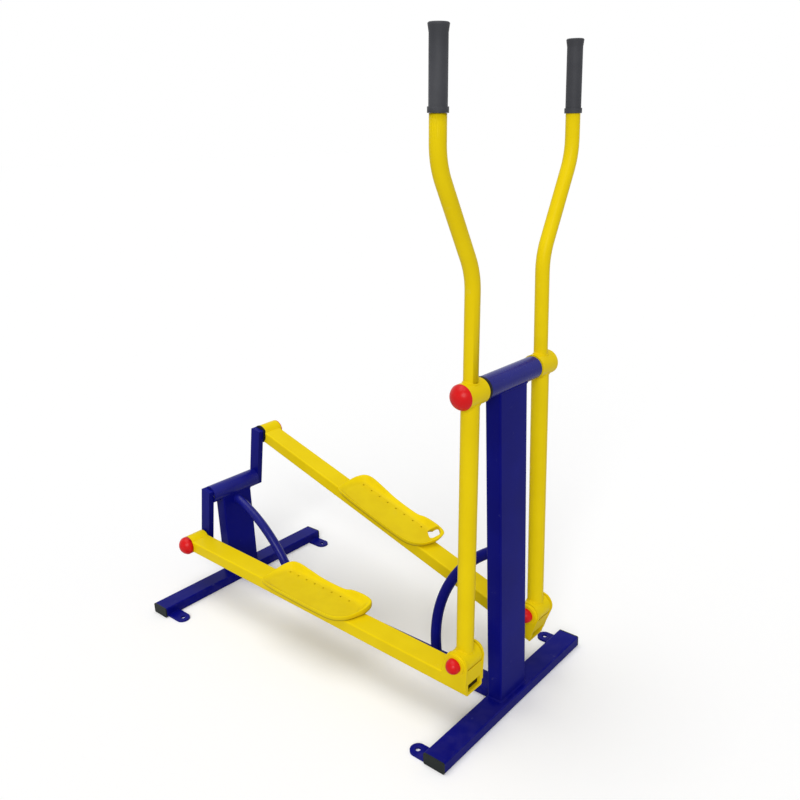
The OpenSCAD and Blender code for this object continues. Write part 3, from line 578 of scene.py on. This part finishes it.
def close_tree(tree, geometry, paint):
    """Ends a tree: makes its instances real, paints them and puts them out."""
    real = add_node(tree, "GeometryNodeRealizeInstances", {}, {"Geometry": geometry})
    painted = add_node(tree, "GeometryNodeSetMaterial", {}, {"Geometry": real, "Material": paint})
    result = tree.nodes.new("NodeGroupOutput")
    tree.links.new(painted.socket, result.inputs["Result"])
    return tree


print("points closer than", SAME_POINT, "m are merged")

# %% [markdown]
# ## Weld beads
# Tubes like these are welded where they meet, and the paint goes over the weld. A bead is a ridge
# with ripples, one for each step of the torch. It follows the line where two surfaces meet, so
# Geometry Nodes sweep a circle along that line and swell it in waves. With no swell the same tree
# makes a plain round tube. The lines are plain edges, worked out from the same sizes as the tubes,
# and every body gets one mesh of its beads.

# %% The tree that sweeps a bead or a tube
def sweep_tree():
    tree, wires = new_tree("round_sweep", {
        "Lines": "Geometry", "Radius": "Float", "Ripple": "Float", "Swell": "Float", "Sides": "Int",
        "Paint": "Material",
    })
    lines, radius, ripple, swell, sides, paint = wires
    line = add_node(tree, "GeometryNodeMeshToCurve", {}, {"Mesh": lines})
    fine = {"Curve": line, "Length": ripple / 4}
    curve = add_node(tree, "GeometryNodeResampleCurve", {"mode": "LENGTH"}, fine)
    travelled = add_node(tree, "GeometryNodeSplineParameter", output="Length")
    wave = travelled.maths("SINE", travelled * (2 * math.pi) / ripple)
    ring = add_node(tree, "GeometryNodeCurvePrimitiveCircle", {}, {"Resolution": sides, "Radius": 1.0})
    swept = add_node(
        tree, "GeometryNodeCurveToMesh", {},
        {"Curve": curve, "Profile Curve": ring, "Scale": radius * (1 + swell * wave), "Fill Caps": True},
    )
    return close_tree(tree, swept, paint)


round_sweep = sweep_tree()
print("tree", round_sweep.name, "inputs:", [i.name for i in round_sweep.interface.items_tree])

# %% The lines that the torch follows on the stand
# How far apart the points of a line are, and how far short of a tube's corner a bead stops
LINE_STEP, SHORT = 1.5 * mm, 3 * mm
# The round of the tubes' corners, and half the width of a lug
TUBE_CORNER, LUG_HALF = 4 * mm, 20 * mm
FRONT_BRACE = {"reach": 207 * mm, "rise": 391 * mm, "bend": 386 * mm, "tube": 28.6 * mm}
REAR_BRACE = {"reach": 250 * mm, "rise": 246 * mm, "bend": 410 * mm, "tube": 28 * mm}


def rounded_outline(low_x, high_x, low_y, high_y, corner=TUBE_CORNER, steps=6):
    """Points round a rectangle with round corners, evenly close along its sides."""
    points = []
    for cx, cy, start in (
        (high_x - corner, high_y - corner, 0), (low_x + corner, high_y - corner, 90),
        (low_x + corner, low_y + corner, 180), (high_x - corner, low_y + corner, 270),
    ):
        for k in range(steps + 1):
            angle = math.radians(start + 90 * k / steps)
            points.append(Vector((cx + corner * math.cos(angle), cy + corner * math.sin(angle))))
    close = []
    for a, b in zip(points, points[1:] + points[:1]):
        count = max(1, round((b - a).length / LINE_STEP))
        close += [a.lerp(b, k / count) for k in range(count)]
    return close


def full_turn(steps):
    return [2 * math.pi * k / steps for k in range(steps)]


def line_between(a, b):
    count = max(2, round((Vector(b) - Vector(a)).length / LINE_STEP))
    return [Vector(a).lerp(Vector(b), k / count) for k in range(count + 1)]


def arc_centre(low, high, radius):
    """The centre, in X and Z, of an arc from low to high that bulges backwards and up."""
    mid = (low + high) / 2
    half = (high - low).length / 2
    along = (high - low) / (2 * half)
    return mid + math.sqrt(radius ** 2 - half ** 2) * Vector((along.y, -along.x))


def brace_lines(post, reach, rise, bend, tube, side):
    """The closed lines where a brace meets the base beam and its post, which faces that side."""
    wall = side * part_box(post)[0 if side > 0 else 1].x
    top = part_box("base_beam")[1].z
    centre = arc_centre(Vector((wall - reach, top)), Vector((wall, top + rise)), bend)
    lines = [[], []]
    for angle in full_turn(40):
        out, y = bend + tube / 2 * math.cos(angle), tube / 2 * math.sin(angle)
        x = centre.x - math.sqrt(out ** 2 - (top - centre.y) ** 2)
        z = centre.y + math.sqrt(out ** 2 - (wall - centre.x) ** 2)
        lines[0].append(Vector((side * x, y, top)))
        lines[1].append(Vector((side * wall, y, z)))
    return lines


def post_lines(post, tube):
    """Round a post's foot, and round its top where it is cut to sit under a cross tube."""
    low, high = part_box(post)
    across, radius = middle(tube), radius_of(tube)
    outline = rounded_outline(low.x, high.x, low.y, high.y)
    foot = [Vector((p.x, p.y, low.z)) for p in outline]
    rises = [math.sqrt(radius ** 2 - (p.x - across.x) ** 2) for p in outline]
    return [foot, [Vector((p.x, p.y, across.z - rise)) for p, rise in zip(outline, rises)]]


def base_lines():
    """Up the four corners of the base beam, where it meets the feet."""
    low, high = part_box("base_beam")
    corners = [(x, y) for x in (low.x, high.x) for y in (low.y, high.y)]
    return [line_between((x, y, 5 * mm), (x, y, high.z - TUBE_CORNER)) for x, y in corners]


def lug_lines(lugs, foot, face):
    """Along the upper edges of two lugs, where they leave that face of their foot."""
    high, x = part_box(lugs)[1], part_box(foot)[face].x
    middles = [side * (high.y - LUG_HALF) for side in (-1, 1)]
    reach = LUG_HALF - SHORT
    return [line_between((x, y - reach, high.z), (x, y + reach, high.z)) for y in middles]


loops = post_lines("front_post", "axle_housing") + post_lines("rear_post", "crank_housing")
loops += brace_lines("front_post", **FRONT_BRACE, side=1) + brace_lines("rear_post", **REAR_BRACE, side=-1)
open_lines = base_lines()
open_lines += lug_lines("front_anchor_lugs", "front_foot", 0) + lug_lines("rear_anchor_lugs", "rear_foot", 1)
print(len(loops), "closed lines,", len(open_lines), "open lines on the stand")

# %% The lines on the levers and the beams
# Radii of hubs, tubes and bosses
LEVER_HUB, FOOT_HUB, CRANK_HUB, BOSS = 29.25 * mm, 29.5 * mm, 28 * mm, 26 * mm
LOWER_TUBE, HANDLE = 21 * mm, 16.75 * mm
# An ear: its lower edge, the slant of its rear edge, its radius and its thickness
EAR_LOW, EAR_SLANT, EAR_RADIUS, EAR_THICK = -3.5 * mm, math.radians(15), 32 * mm, 4.5 * mm
# How far beyond the pivot the ears' beads end, and how far the web's bead lies
EAR_END, WEB_BEAD = 27 * mm, 24 * mm


def saddle_line(tube_radius, hub_radius, sign, drop):
    """Where an upright tube at the lever's place meets a hub that lies along Y."""
    points = []
    for angle in full_turn(60):
        x, y = tube_radius * math.cos(angle), LEVER_Y + tube_radius * math.sin(angle)
        points.append(Vector((x, y, sign * math.sqrt(hub_radius ** 2 - x ** 2) - drop)))
    return points


def lever_lines():
    """Where the lower tube and the handle meet the hub, and the lower tube its foot hub."""
    return [
        saddle_line(LOWER_TUBE, LEVER_HUB, -1, 0), saddle_line(HANDLE, LEVER_HUB, 1, 0),
        saddle_line(LOWER_TUBE, FOOT_HUB, 1, LEVER_LEN),
    ]


def beam_lines(side):
    """Across the beam at the crank hub, under and behind the ears, and along the web's foot."""
    y = side * LEVER_Y
    hub_x, web_x = math.sqrt(CRANK_HUB ** 2 - HALF_HEIGHT ** 2), BEAM_REACH + WEB_BEAD
    near, far = y - HALF_WIDTH + SHORT, y + HALF_WIDTH - SHORT
    lines = [line_between((hub_x, near, z), (hub_x, far - 2 * mm, z)) for z in (-HALF_HEIGHT, HALF_HEIGHT)]

    def heel(z):
        return BEAM_REACH - (EAR_RADIUS + (PIVOT_UP - z) * math.sin(EAR_SLANT)) / math.cos(EAR_SLANT)

    low, high = EAR_LOW, HALF_HEIGHT - TUBE_CORNER
    for at in (y - HALF_WIDTH, y + HALF_WIDTH):
        lines.append(line_between((heel(low) + 2 * mm, at, low), (BEAM_REACH + EAR_END, at, low)))
        lines.append(line_between((heel(low), at, low), (heel(high), at, high)))
    return lines + [line_between((web_x, near, HALF_HEIGHT), (web_x, far, HALF_HEIGHT))]


def boss_rings(side):
    """Round the foot of each boss, on the outer face of its ear."""
    return [
        [Vector((BEAM_REACH + BOSS * math.cos(a), y, PIVOT_UP + BOSS * math.sin(a))) for a in full_turn(60)]
        for y in (side * LEVER_Y + outer * (HALF_WIDTH + EAR_THICK) for outer in (-1, 1))
    ]


def as_lines(closed, opened):
    """One mesh of edges from lists of points."""
    mesh = bpy.data.meshes.new("lines")
    points, edges = [], []
    for line, joined in [(c, True) for c in closed] + [(o, False) for o in opened]:
        first = len(points)
        points += [tuple(p) for p in line]
        edges += [(first + k, first + k + 1) for k in range(len(line) - 1)]
        if joined:
            edges.append((first + len(line) - 1, first))
    mesh.from_pydata(points, edges, [])
    return mesh


def weld(body, place, closed, opened, slot, radius):
    """Lays the beads of one body along its lines, in the paint of the tubes that they join."""
    bead = {"Radius": radius, "Ripple": 2.4 * mm, "Swell": 0.08, "Sides": 10, "Paint": FINISHES[slot]}
    closed, opened = [[[place @ p for p in line] for line in lines] for lines in (closed, opened)]
    form = grown(as_lines(closed, opened), round_sweep, bead)
    finished(body + "_welds", form, slot, body, crease=180)


weld("stand", Matrix(), loops, open_lines, "frame_paint", 2.6 * mm)
for name, side in SIDES.items():
    weld(name + "_lever", lever_frame(name), lever_lines(), [], "lever_paint", 2.2 * mm)
    weld(name + "_beam", beam_frame(name), boss_rings(side), beam_lines(side), "lever_paint", 2.0 * mm)

# %% [markdown]
# ## Turned pieces
# Caps and seals are profiles of radii and distances, spun about the hub's axis. The photograph shows
# domed caps on the near ends of the hubs, but no dome stands out behind the far ends, so the far
# caps are low ones. The far crank hub runs on a little past its bearing, and the lip of its seal
# laps over it. Each foot pivot shows one cap, on the side towards the camera, so the nut on its
# other side stays bare.

# %% A helper that spins a profile
def spun(profile, centre, side, steps=96):
    """Spins a profile of (radius, distance out along Y); a profile off the axis closes on itself."""
    form = bmesh.new()
    rows = []
    for radius, out in profile:
        turns = full_turn(steps) if radius else [0]
        rows.append([
            form.verts.new((centre.x + radius * math.cos(a), side * out, centre.z + radius * math.sin(a)))
            for a in turns
        ])
    ring_shaped = all(radius for radius, out in profile)
    for low, high in zip(rows, rows[1:] + rows[:1] if ring_shaped else rows[1:]):
        for k in range(steps):
            j = (k + 1) % steps
            corners = [low[k % len(low)], low[j % len(low)], high[j % len(high)], high[k % len(high)]]
            corners = list(dict.fromkeys(corners))
            if len(corners) > 2:
                form.faces.new(corners)
    return form


print("a profile with no point on the axis becomes a ring")

# %% The far caps
# The ring that plugs a hub's bore: its two radii, and how deep it goes
PLUG_IN, PLUG_OUT, PLUG_DEPTH = 20.8 * mm, 23.0 * mm, 5 * mm
CAP_WALL, CAP_RISE = 1.8 * mm, 2.8 * mm
# How much smaller than its hub a cap is, and how much further the far crank hub runs on
CAP_INSET, HUB_END = 0.8 * mm, 9 * mm


def low_cap(face, radius, lip):
    """A shallow dome on a ring that plugs the hub's bore, hollow over the nut inside."""
    turns = [math.radians(90 * k / 8) for k in range(1, 8)]
    rim = face + lip
    domed = [(radius * math.cos(a), rim + CAP_RISE * math.sin(a)) for a in turns]
    return [
        (0, rim + CAP_RISE - CAP_WALL), (PLUG_IN, face + 1 * mm), (PLUG_IN, face - PLUG_DEPTH),
        (PLUG_OUT, face - PLUG_DEPTH), (PLUG_OUT, face + 0.2 * mm), (radius - 0.6 * mm, face + 0.2 * mm),
        (radius, face + 0.7 * mm), (radius, rim), *domed, (0, rim + CAP_RISE),
    ]


for node, hub, body, further, lip in (
    ("left_crank_cap", "left_crank_hub", "left_beam", HUB_END, 2.4 * mm),
    ("left_hub_cap", "left_lever_hub", "left_lever", 0, 1.2 * mm),
):
    profile = low_cap(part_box(hub)[1].y + further, radius_of(hub) - CAP_INSET, lip)
    finished("low_" + node, spun(profile, middle(hub), 1), "cap_plastic", body, node)

# %% The far crank hub's end
HUB_BORE, HUB_EDGE = 23.6 * mm, 0.5 * mm
hub_at, hub_radius = middle("left_crank_hub"), radius_of("left_crank_hub")
hub_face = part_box("left_crank_hub")[1].y
hub_tip = hub_face + HUB_END
end_ring = [
    (HUB_BORE, hub_face), (hub_radius, hub_face), (hub_radius, hub_tip - HUB_EDGE),
    (hub_radius - HUB_EDGE, hub_tip), (HUB_BORE, hub_tip),
]
finished("far_crank_hub_end", spun(end_ring, hub_at, 1), "lever_paint", "left_beam")

# %% The far crank seal's lip
# Radius and distance out along Y, in millimetres: the lip from the seal's face, and the others from
# the middle plane
SEAL_LIP = [(27.3, -2.5), (28.4, -2.0), (28.8, -1.0), (28.7, 2.6), (28.1, 3.2), (28.1, 0.1), (27.3, 0.0)]
AXLE_SEAL = [(15.6, 105.3), (24.6, 105.3), (24.9, 105.8), (24.9, 107.8), (24.6, 108.3), (15.6, 108.3)]
SLEEVE = [(27.1, 97.7), (28.0, 97.5), (28.5, 98.1), (28.5, 104.9), (27.1, 104.9)]


def ring(profile, centre, side, start=0.0):
    return spun([(radius * mm, start + out * mm) for radius, out in profile], centre, side)


seal_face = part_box("left_crank_seal")[1].y
finished("far_crank_seal_lip", ring(SEAL_LIP, hub_at, 1, seal_face), "seal_rubber", "left_beam")

# %% The pivot caps, on the camera's side only
def copied(node):
    """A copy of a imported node's mesh, its loose triangles joined."""
    form = bmesh.new()
    form.from_mesh(frame["nodes"][node].data)
    bmesh.ops.remove_doubles(form, verts=form.verts, dist=SAME_POINT)
    return form


for name in SIDES:
    node = name + "_pivot_caps"
    form, halfway = copied(node), middle(node).y
    hidden = [vert for vert in form.verts if vert.co.y > halfway]
    bmesh.ops.delete(form, geom=hidden, context="VERTS")
    finished(name + "_pivot_cap", form, "cap_plastic", name + "_beam", node)

# %% The seals of the lever hubs
finished("slim_left_hub_seal", ring(AXLE_SEAL, axle, 1), "seal_rubber", "left_lever", "left_hub_seal")
finished("near_seal_sleeve", ring(SLEEVE, axle, -1), "seal_rubber", "stand")

# %% [markdown]
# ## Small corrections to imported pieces
# Laid over the photograph, four pieces differ from it by a few millimetres: the near crank cap is a
# little longer, the near grip and handle end a little lower, and the rear foot's anchor lugs reach
# further out. A copy of each piece, with the points past a line moved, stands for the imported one.

# %% Move what lies past a line
CAP_LONGER, HANDLE_LOWER, LUGS_LONGER = 4 * mm, 6.5 * mm, 10 * mm
# Lines across the cap's rim, the handle over its bends, and the lugs behind their round ends
cap_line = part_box("right_crank_hub")[0].y - 3 * mm
handle_line = 1500 * mm
lug_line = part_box("rear_anchor_lugs")[0].x + 14 * mm


def redrawn(name, node, body, past, move):
    """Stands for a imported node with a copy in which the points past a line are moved."""
    form = copied(node)
    bmesh.ops.translate(form, verts=[vert for vert in form.verts if past(vert.co)], vec=move)
    finished(name, form, slot_of[node], body, node)


redrawn("near_crank_cap", "right_crank_cap", "right_beam", lambda p: p.y < cap_line, (0, -CAP_LONGER, 0))
for name, node in (("near_grip", "right_grip"), ("near_handle", "right_handle_tube")):
    redrawn(name, node, "right_lever", lambda p: p.z > handle_line, (0, 0, -HANDLE_LOWER))
redrawn("long_rear_lugs", "rear_anchor_lugs", "stand", lambda p: p.x > lug_line, (LUGS_LONGER, 0, 0))

# %% [markdown]
# ## The front brace
# The brace behind the front post is one bent tube. Measured again on the photograph, it is bent a
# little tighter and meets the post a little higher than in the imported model, so a finer tube stands
# for it. The tree that sweeps the beads also sweeps this tube along its arc, with no swell, and its
# ends run on inside the tubes that they meet.

# %% Bend the front brace
def brace_line(post, reach, rise, bend, spare=12 * mm, steps=120):
    """Points along a brace's middle line, from inside the base beam to inside the post."""
    wall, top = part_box(post)[0].x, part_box("base_beam")[1].z
    low, high = Vector((wall - reach, top)), Vector((wall, top + rise))
    centre = arc_centre(low, high, bend)
    angles = [math.atan2(p.y - centre.y, p.x - centre.x) % (2 * math.pi) for p in (low, high)]
    more = math.copysign(spare / bend, angles[0] - angles[1])
    start, end = angles[0] + more, angles[1] - more
    turns = [start + (end - start) * k / steps for k in range(steps + 1)]
    return [Vector((centre.x + bend * math.cos(a), 0, centre.y + bend * math.sin(a))) for a in turns]


arc = brace_line("front_post", *[FRONT_BRACE[size] for size in ("reach", "rise", "bend")])
radius = FRONT_BRACE["tube"] / 2
tube = {"Radius": radius, "Ripple": 16 * mm, "Swell": 0.0, "Sides": 48, "Paint": frame_paint}
bent = grown(as_lines([], [arc]), round_sweep, tube)
finished("front_bent_brace", bent, "frame_paint", "stand", "front_brace")

# %% [markdown]
# ## The lip behind each foot pivot
# The web that closes a beam's end rises behind the foot hub and is cut to its curve, so that no
# slot shows between them. The arc keeps a running gap round the hub, because the hub turns there.

# %% Raise the webs to the hubs
# The lip, from the pivot: its back, and its lower and upper edge over the beam's middle
LIP_BACK, LIP_FRONT, LIP_LOW, LIP_HIGH = 29 * mm, 24 * mm, 44 * mm, 51.5 * mm
LIP_HALF_WIDTH = 30.6 * mm
# The arc that keeps clear of the foot hub, and where it starts over the lower edge
HUB_CLEAR, ARC_START = 30.4 * mm, 1.2 * mm


def lip_outline(steps=8):
    """The lip's section, along the beam and up, with the arc of the foot hub cut out of it."""
    low = LIP_LOW + ARC_START
    heights = [LIP_HIGH + (low - LIP_HIGH) * k / steps for k in range(steps + 1)]
    arc = [(math.sqrt(HUB_CLEAR ** 2 - (PIVOT_UP - z) ** 2), z) for z in heights]
    return [(LIP_BACK, LIP_LOW), (LIP_BACK, LIP_HIGH)] + arc + [(LIP_FRONT, LIP_LOW)]


for name, side in SIDES.items():
    place = beam_frame(name, (BEAM_REACH, side * LEVER_Y, 0))
    ends = [[place @ Vector((x, y, z)) for x, z in lip_outline()] for y in (-LIP_HALF_WIDTH, LIP_HALF_WIDTH)]
    finished(name + "_web_lip", walled(ends), "lever_paint", name + "_beam")

# %% [markdown]
# ## Inside the beams' open ends
# Deep inside a tube only shade falls, so each beam's bore gets a thin lining with a bottom, painted a
# dull, dark brown as painted shade. Its mouth has a thicker, painted edge, as the photograph shows
# round the opening.

# %% Mix the painted shade for the bores and line the beams
# A dull, blotchy dark brown: painted shade for the inside of an open tube
def painted_shade_bore():
    bore = Finish("painted_shade_bore", Specular_IOR_Level=0.1)
    shade_blotch, grit = bore.noise(14 * mm, 4.0), bore.noise(1.2 * mm, 2.0)
    tint = bore.blend(shade_blotch, srgb(92, 78, 30), srgb(58, 50, 30))
    rough = 0.7 + 0.2 * (shade_blotch - 0.5)
    return bore.done(tint, rough, grit, 0.1 * mm)


def square_tube(outer, inner, low, high, place, bottom):
    """A square tube from low to high along the beam, with a bottom at its low end if it has one."""
    corners = ((-1, -1), (1, -1), (1, 1), (-1, 1))
    return walled([
        [place @ Vector((x, half_y * y, half_z * z)) for y, z in corners]
        for (half_y, half_z), x in ((inner, low), (inner, high), (outer, high), (outer, low))
    ], again=not bottom)


painted_shade_lining_finish = painted_shade_bore()
# Half the width and height of the tube's bore, of its painted mouth and of the lining's inside
TUBE_BORE, MOUTH, LINING = (26.9 * mm, 14.4 * mm), (24.5 * mm, 11.5 * mm), (26.2 * mm, 13.7 * mm)
# How far the mouth lies behind the beam's end, and how deep the mouth and the lining go
MOUTH_BACK, MOUTH_DEPTH, BORE_DEPTH = 0.4 * mm, 9 * mm, 160 * mm
BEAM_END = BEAM_REACH + 29 * mm
for name, side in SIDES.items():
    place = beam_frame(name, (BEAM_END, side * LEVER_Y, 0))
    mouth = square_tube(TUBE_BORE, MOUTH, -MOUTH_DEPTH, -MOUTH_BACK, place, bottom=False)
    finished(name + "_beam_mouth", mouth, "lever_paint", name + "_beam")
    # The lining is a dark sheet of painted shade deep inside the tube
    lining = square_tube(TUBE_BORE, LINING, -BORE_DEPTH, -MOUTH_DEPTH - 0.2 * mm, place, bottom=True)
    finished(name + "_beam_painted_shade_lining", lining, "lever_paint", name + "_beam", paint=painted_shade_lining_finish)

# %% [markdown]
# ## The foot trays
# Each tray is one casting, the piece with the most shape on this machine: a rim that rises and
# falls round the foot, walls that lean in to a flat floor, an eye for a strap at the front corner,
# and a row of drain holes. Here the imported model's control points carry a smooth net: a spline runs
# round the rim, another over it from the underside to the floor. The eye is cut from the net, and
# Geometry Nodes drill the row of holes. The photograph shows light through the far tray's eye, but a
# filled, fuller corner on the near tray, so the near one is left without its eye.

# %% The tray's control points
TRAY_START, TRAY_LEN, TRAY_WIDTH, TRAY_RIGHT = 374.5 * mm, 353.5 * mm, 122 * mm, 57 * mm
TRAY_RIM, TRAY_FLOOR = 30 * mm, 7.3 * mm
# Round the rim: shares of the tray's length, width and highest rim
RIM_SHARES = [
    (0.021, 0.090, 0.40), (0.131, 0.016, 0.44), (0.414, 0.000, 0.46), (0.696, 0.000, 0.48),
    (0.853, 0.045, 0.50), (0.942, 0.235, 0.52), (0.981, 0.500, 0.58), (1.000, 0.720, 0.78),
    (0.984, 0.925, 0.92), (0.895, 0.995, 0.95), (0.764, 0.990, 0.88), (0.665, 0.970, 0.62),
    (0.440, 0.975, 0.62), (0.273, 0.990, 0.84), (0.136, 1.000, 1.00), (0.053, 0.955, 0.88),
    (0.006, 0.755, 0.62), (0.000, 0.420, 0.42),
]
# Round the floor's edge, opposite the same points
FLOOR_SHARES = [
    (0.095, 0.175), (0.199, 0.105), (0.414, 0.060), (0.681, 0.060), (0.812, 0.085), (0.901, 0.240),
    (0.932, 0.465), (0.927, 0.615), (0.892, 0.730), (0.830, 0.800), (0.749, 0.815), (0.651, 0.820),
    (0.440, 0.820), (0.283, 0.828), (0.178, 0.835), (0.100, 0.815), (0.074, 0.620), (0.068, 0.390),
]
# Over the rim: how far in towards the floor's edge, and how high
OVER_SHARES = [(0.36, 0.0), (0.12, 0.45), (0.0, 0.92), (0.10, 1.0), (0.24, 0.95), (0.62, 0.36), (1.0, 0.0)]
FULLER_SHARES = [(0.22, 0.0), (0.03, 0.35), (0.0, 0.90)] + OVER_SHARES[3:]
# What lies further in than this is inside the wall; the last control point lies past the edge
INSIDE_SHARE, PAST_EDGE_SHARE = 0.3, 1.22
print("control net:", len(RIM_SHARES), "by", len(OVER_SHARES))


# %% Two splines make the net
def between(p0, p1, p2, p3, t):
    """A point of a Catmull-Rom span from p1 to p2."""
    return 0.5 * (
        2 * p1 + t * (p2 - p0) + t ** 2 * (2 * p0 - 5 * p1 + 4 * p2 - p3)
        + t ** 3 * (3 * p1 - p0 - 3 * p2 + p3)
    )


def spline(points, steps, closed):
    """Points of a spline that is closed, or whose two ends run straight."""
    full = [2 * points[0] - points[1]] + points + [2 * points[-1] - points[-2]]
    if closed:
        full = points[-1:] + points + points[:2]
    made = [between(*full[k:k + 4], j / steps) for k in range(len(full) - 3) for j in range(steps)]
    return made if closed else made + [points[-1]]


def tray_net(over_shares, around=8, over=5):
    """Rings of points, from the underside up over the rim and down to the flat floor."""
    rim = [Vector((x * TRAY_LEN, y * TRAY_WIDTH, z * TRAY_RIM)) for x, y, z in RIM_SHARES]
    edge = [Vector((x * TRAY_LEN, y * TRAY_WIDTH, 0)) for x, y in FLOOR_SHARES]
    columns = []
    for outer, inner in zip(spline(rim, around, True), spline(edge, around, True)):
        column = []
        for inwards, up in over_shares:
            flat = outer.lerp(inner, inwards)
            inside = inwards > INSIDE_SHARE and (up > 0 or inwards == 1)
            z = TRAY_FLOOR + up * (outer.z - TRAY_FLOOR) if inside else up * outer.z
            column.append(Vector((flat.x, flat.y, z)))
        beyond = outer.lerp(inner, PAST_EDGE_SHARE)
        column.append(Vector((beyond.x, beyond.y, TRAY_FLOOR)))
        curve = spline(column, over, False)
        half = len(curve) // 2
        lowest = [0 if k <= half else TRAY_FLOOR for k in range(len(curve))]
        columns.append([Vector((p.x, p.y, max(p.z, low))) for p, low in zip(curve, lowest)])
    return [list(ring) for ring in zip(*columns)]


nets = {"right": tray_net(FULLER_SHARES), "left": tray_net(OVER_SHARES)}
for name, net in nets.items():
    highest = max(p.z for ring in net for p in ring)
    print(name, "net:", len(net), "rings of", len(net[0]), "points, rim up to", round(highest, 4))

# %% The tree that drills a row of holes
def drill_tree():
    tree, wires = new_tree("row_of_holes", {
        "Casting": "Geometry", "First": "Vector", "Last": "Vector", "Holes": "Int", "Radius": "Float",
        "Depth": "Float", "Paint": "Material",
    })
    casting, first, last, holes, radius, depth, paint = wires
    row = add_node(
        tree, "GeometryNodeMeshLine", {"mode": "END_POINTS"},
        {"Count": holes, "Start Location": first, "Offset": last},
    )
    bit = {"Vertices": 32, "Radius": radius, "Depth": depth}
    drill = add_node(tree, "GeometryNodeMeshCylinder", {}, bit)
    drills = add_node(tree, "GeometryNodeInstanceOnPoints", {}, {"Points": row, "Instance": drill})
    drilled = add_node(
        tree, "GeometryNodeMeshBoolean", {"operation": "DIFFERENCE", "solver": "EXACT"},
        {"Mesh 1": casting, "Mesh 2": drills},
    )
    return close_tree(tree, drilled, paint)


row_of_holes = drill_tree()
DRAINS, DRAIN_RADIUS, DRAIN_SHARES = 8, 3 * mm, ((0.106, 0.775), (0.789, 0.775))
print("tree", row_of_holes.name, "inputs:", [i.name for i in row_of_holes.interface.items_tree])

# %% Cut the eye and drill the drain holes
# The eye: its place as shares of the tray, its size, its turn, and how much it widens downwards
EYE_SHARES, EYE_LEN, EYE_WIDTH = (0.921, 0.810), 33 * mm, 29 * mm
EYE_TURN, EYE_FLARE = math.radians(-35), 1.35


def eye_cutter(low=-5 * mm, high=45 * mm):
    """A prism through the tray's front corner, wider at its foot than at its top."""
    x, y = EYE_LEN / 2, EYE_WIDTH / 2
    turn = Matrix.Rotation(EYE_TURN, 4, "Z")
    at = Vector((EYE_SHARES[0] * TRAY_LEN, EYE_SHARES[1] * TRAY_WIDTH, 0))
    outline = [turn @ p.to_3d() for p in rounded_outline(-x, x, -y, y, EYE_WIDTH / 3)]
    return walled([
        [at + flare * p + Vector((0, 0, z)) for p in outline]
        for z, flare in ((low, EYE_FLARE), (high, 1 / EYE_FLARE))
    ])


def cast_tray(net, with_eye):
    """A drilled casting, with each point's height over the underside kept as an attribute."""
    blank = as_object("tray_blank", walled(net))
    casting = blank.data
    if with_eye:
        knife = as_object("eye_cutter", eye_cutter())
        cut = blank.modifiers.new("cut", "BOOLEAN")
        cut.object = knife
        cut.solver = "EXACT"
        casting = left_by(cut)
        bpy.data.objects.remove(knife)
    first, last = [(a * TRAY_LEN, b * TRAY_WIDTH, 0.0) for a, b in DRAIN_SHARES]
    form = grown(casting, row_of_holes, {
        "First": first, "Last": last, "Holes": DRAINS, "Radius": DRAIN_RADIUS, "Depth": 2 * TRAY_RIM,
        "Paint": tray_paint,
    })
    if not with_eye:
        bpy.data.objects.remove(blank)
    lift = form.verts.layers.float.new("lift")
    for vert in form.verts:
        vert[lift] = vert.co.z
    return form


# %% Lay a tray on each beam
for name, side in SIDES.items():
    form = cast_tray(nets[name], name == "left")
    lie = beam_frame(name, (TRAY_START, side * LEVER_Y - TRAY_RIGHT, HALF_HEIGHT))
    bmesh.ops.transform(form, matrix=lie, verts=form.verts)
    finished(name + "_cast_tray", form, "tray_paint", name + "_beam", name + "_foot_tray", crease=38)
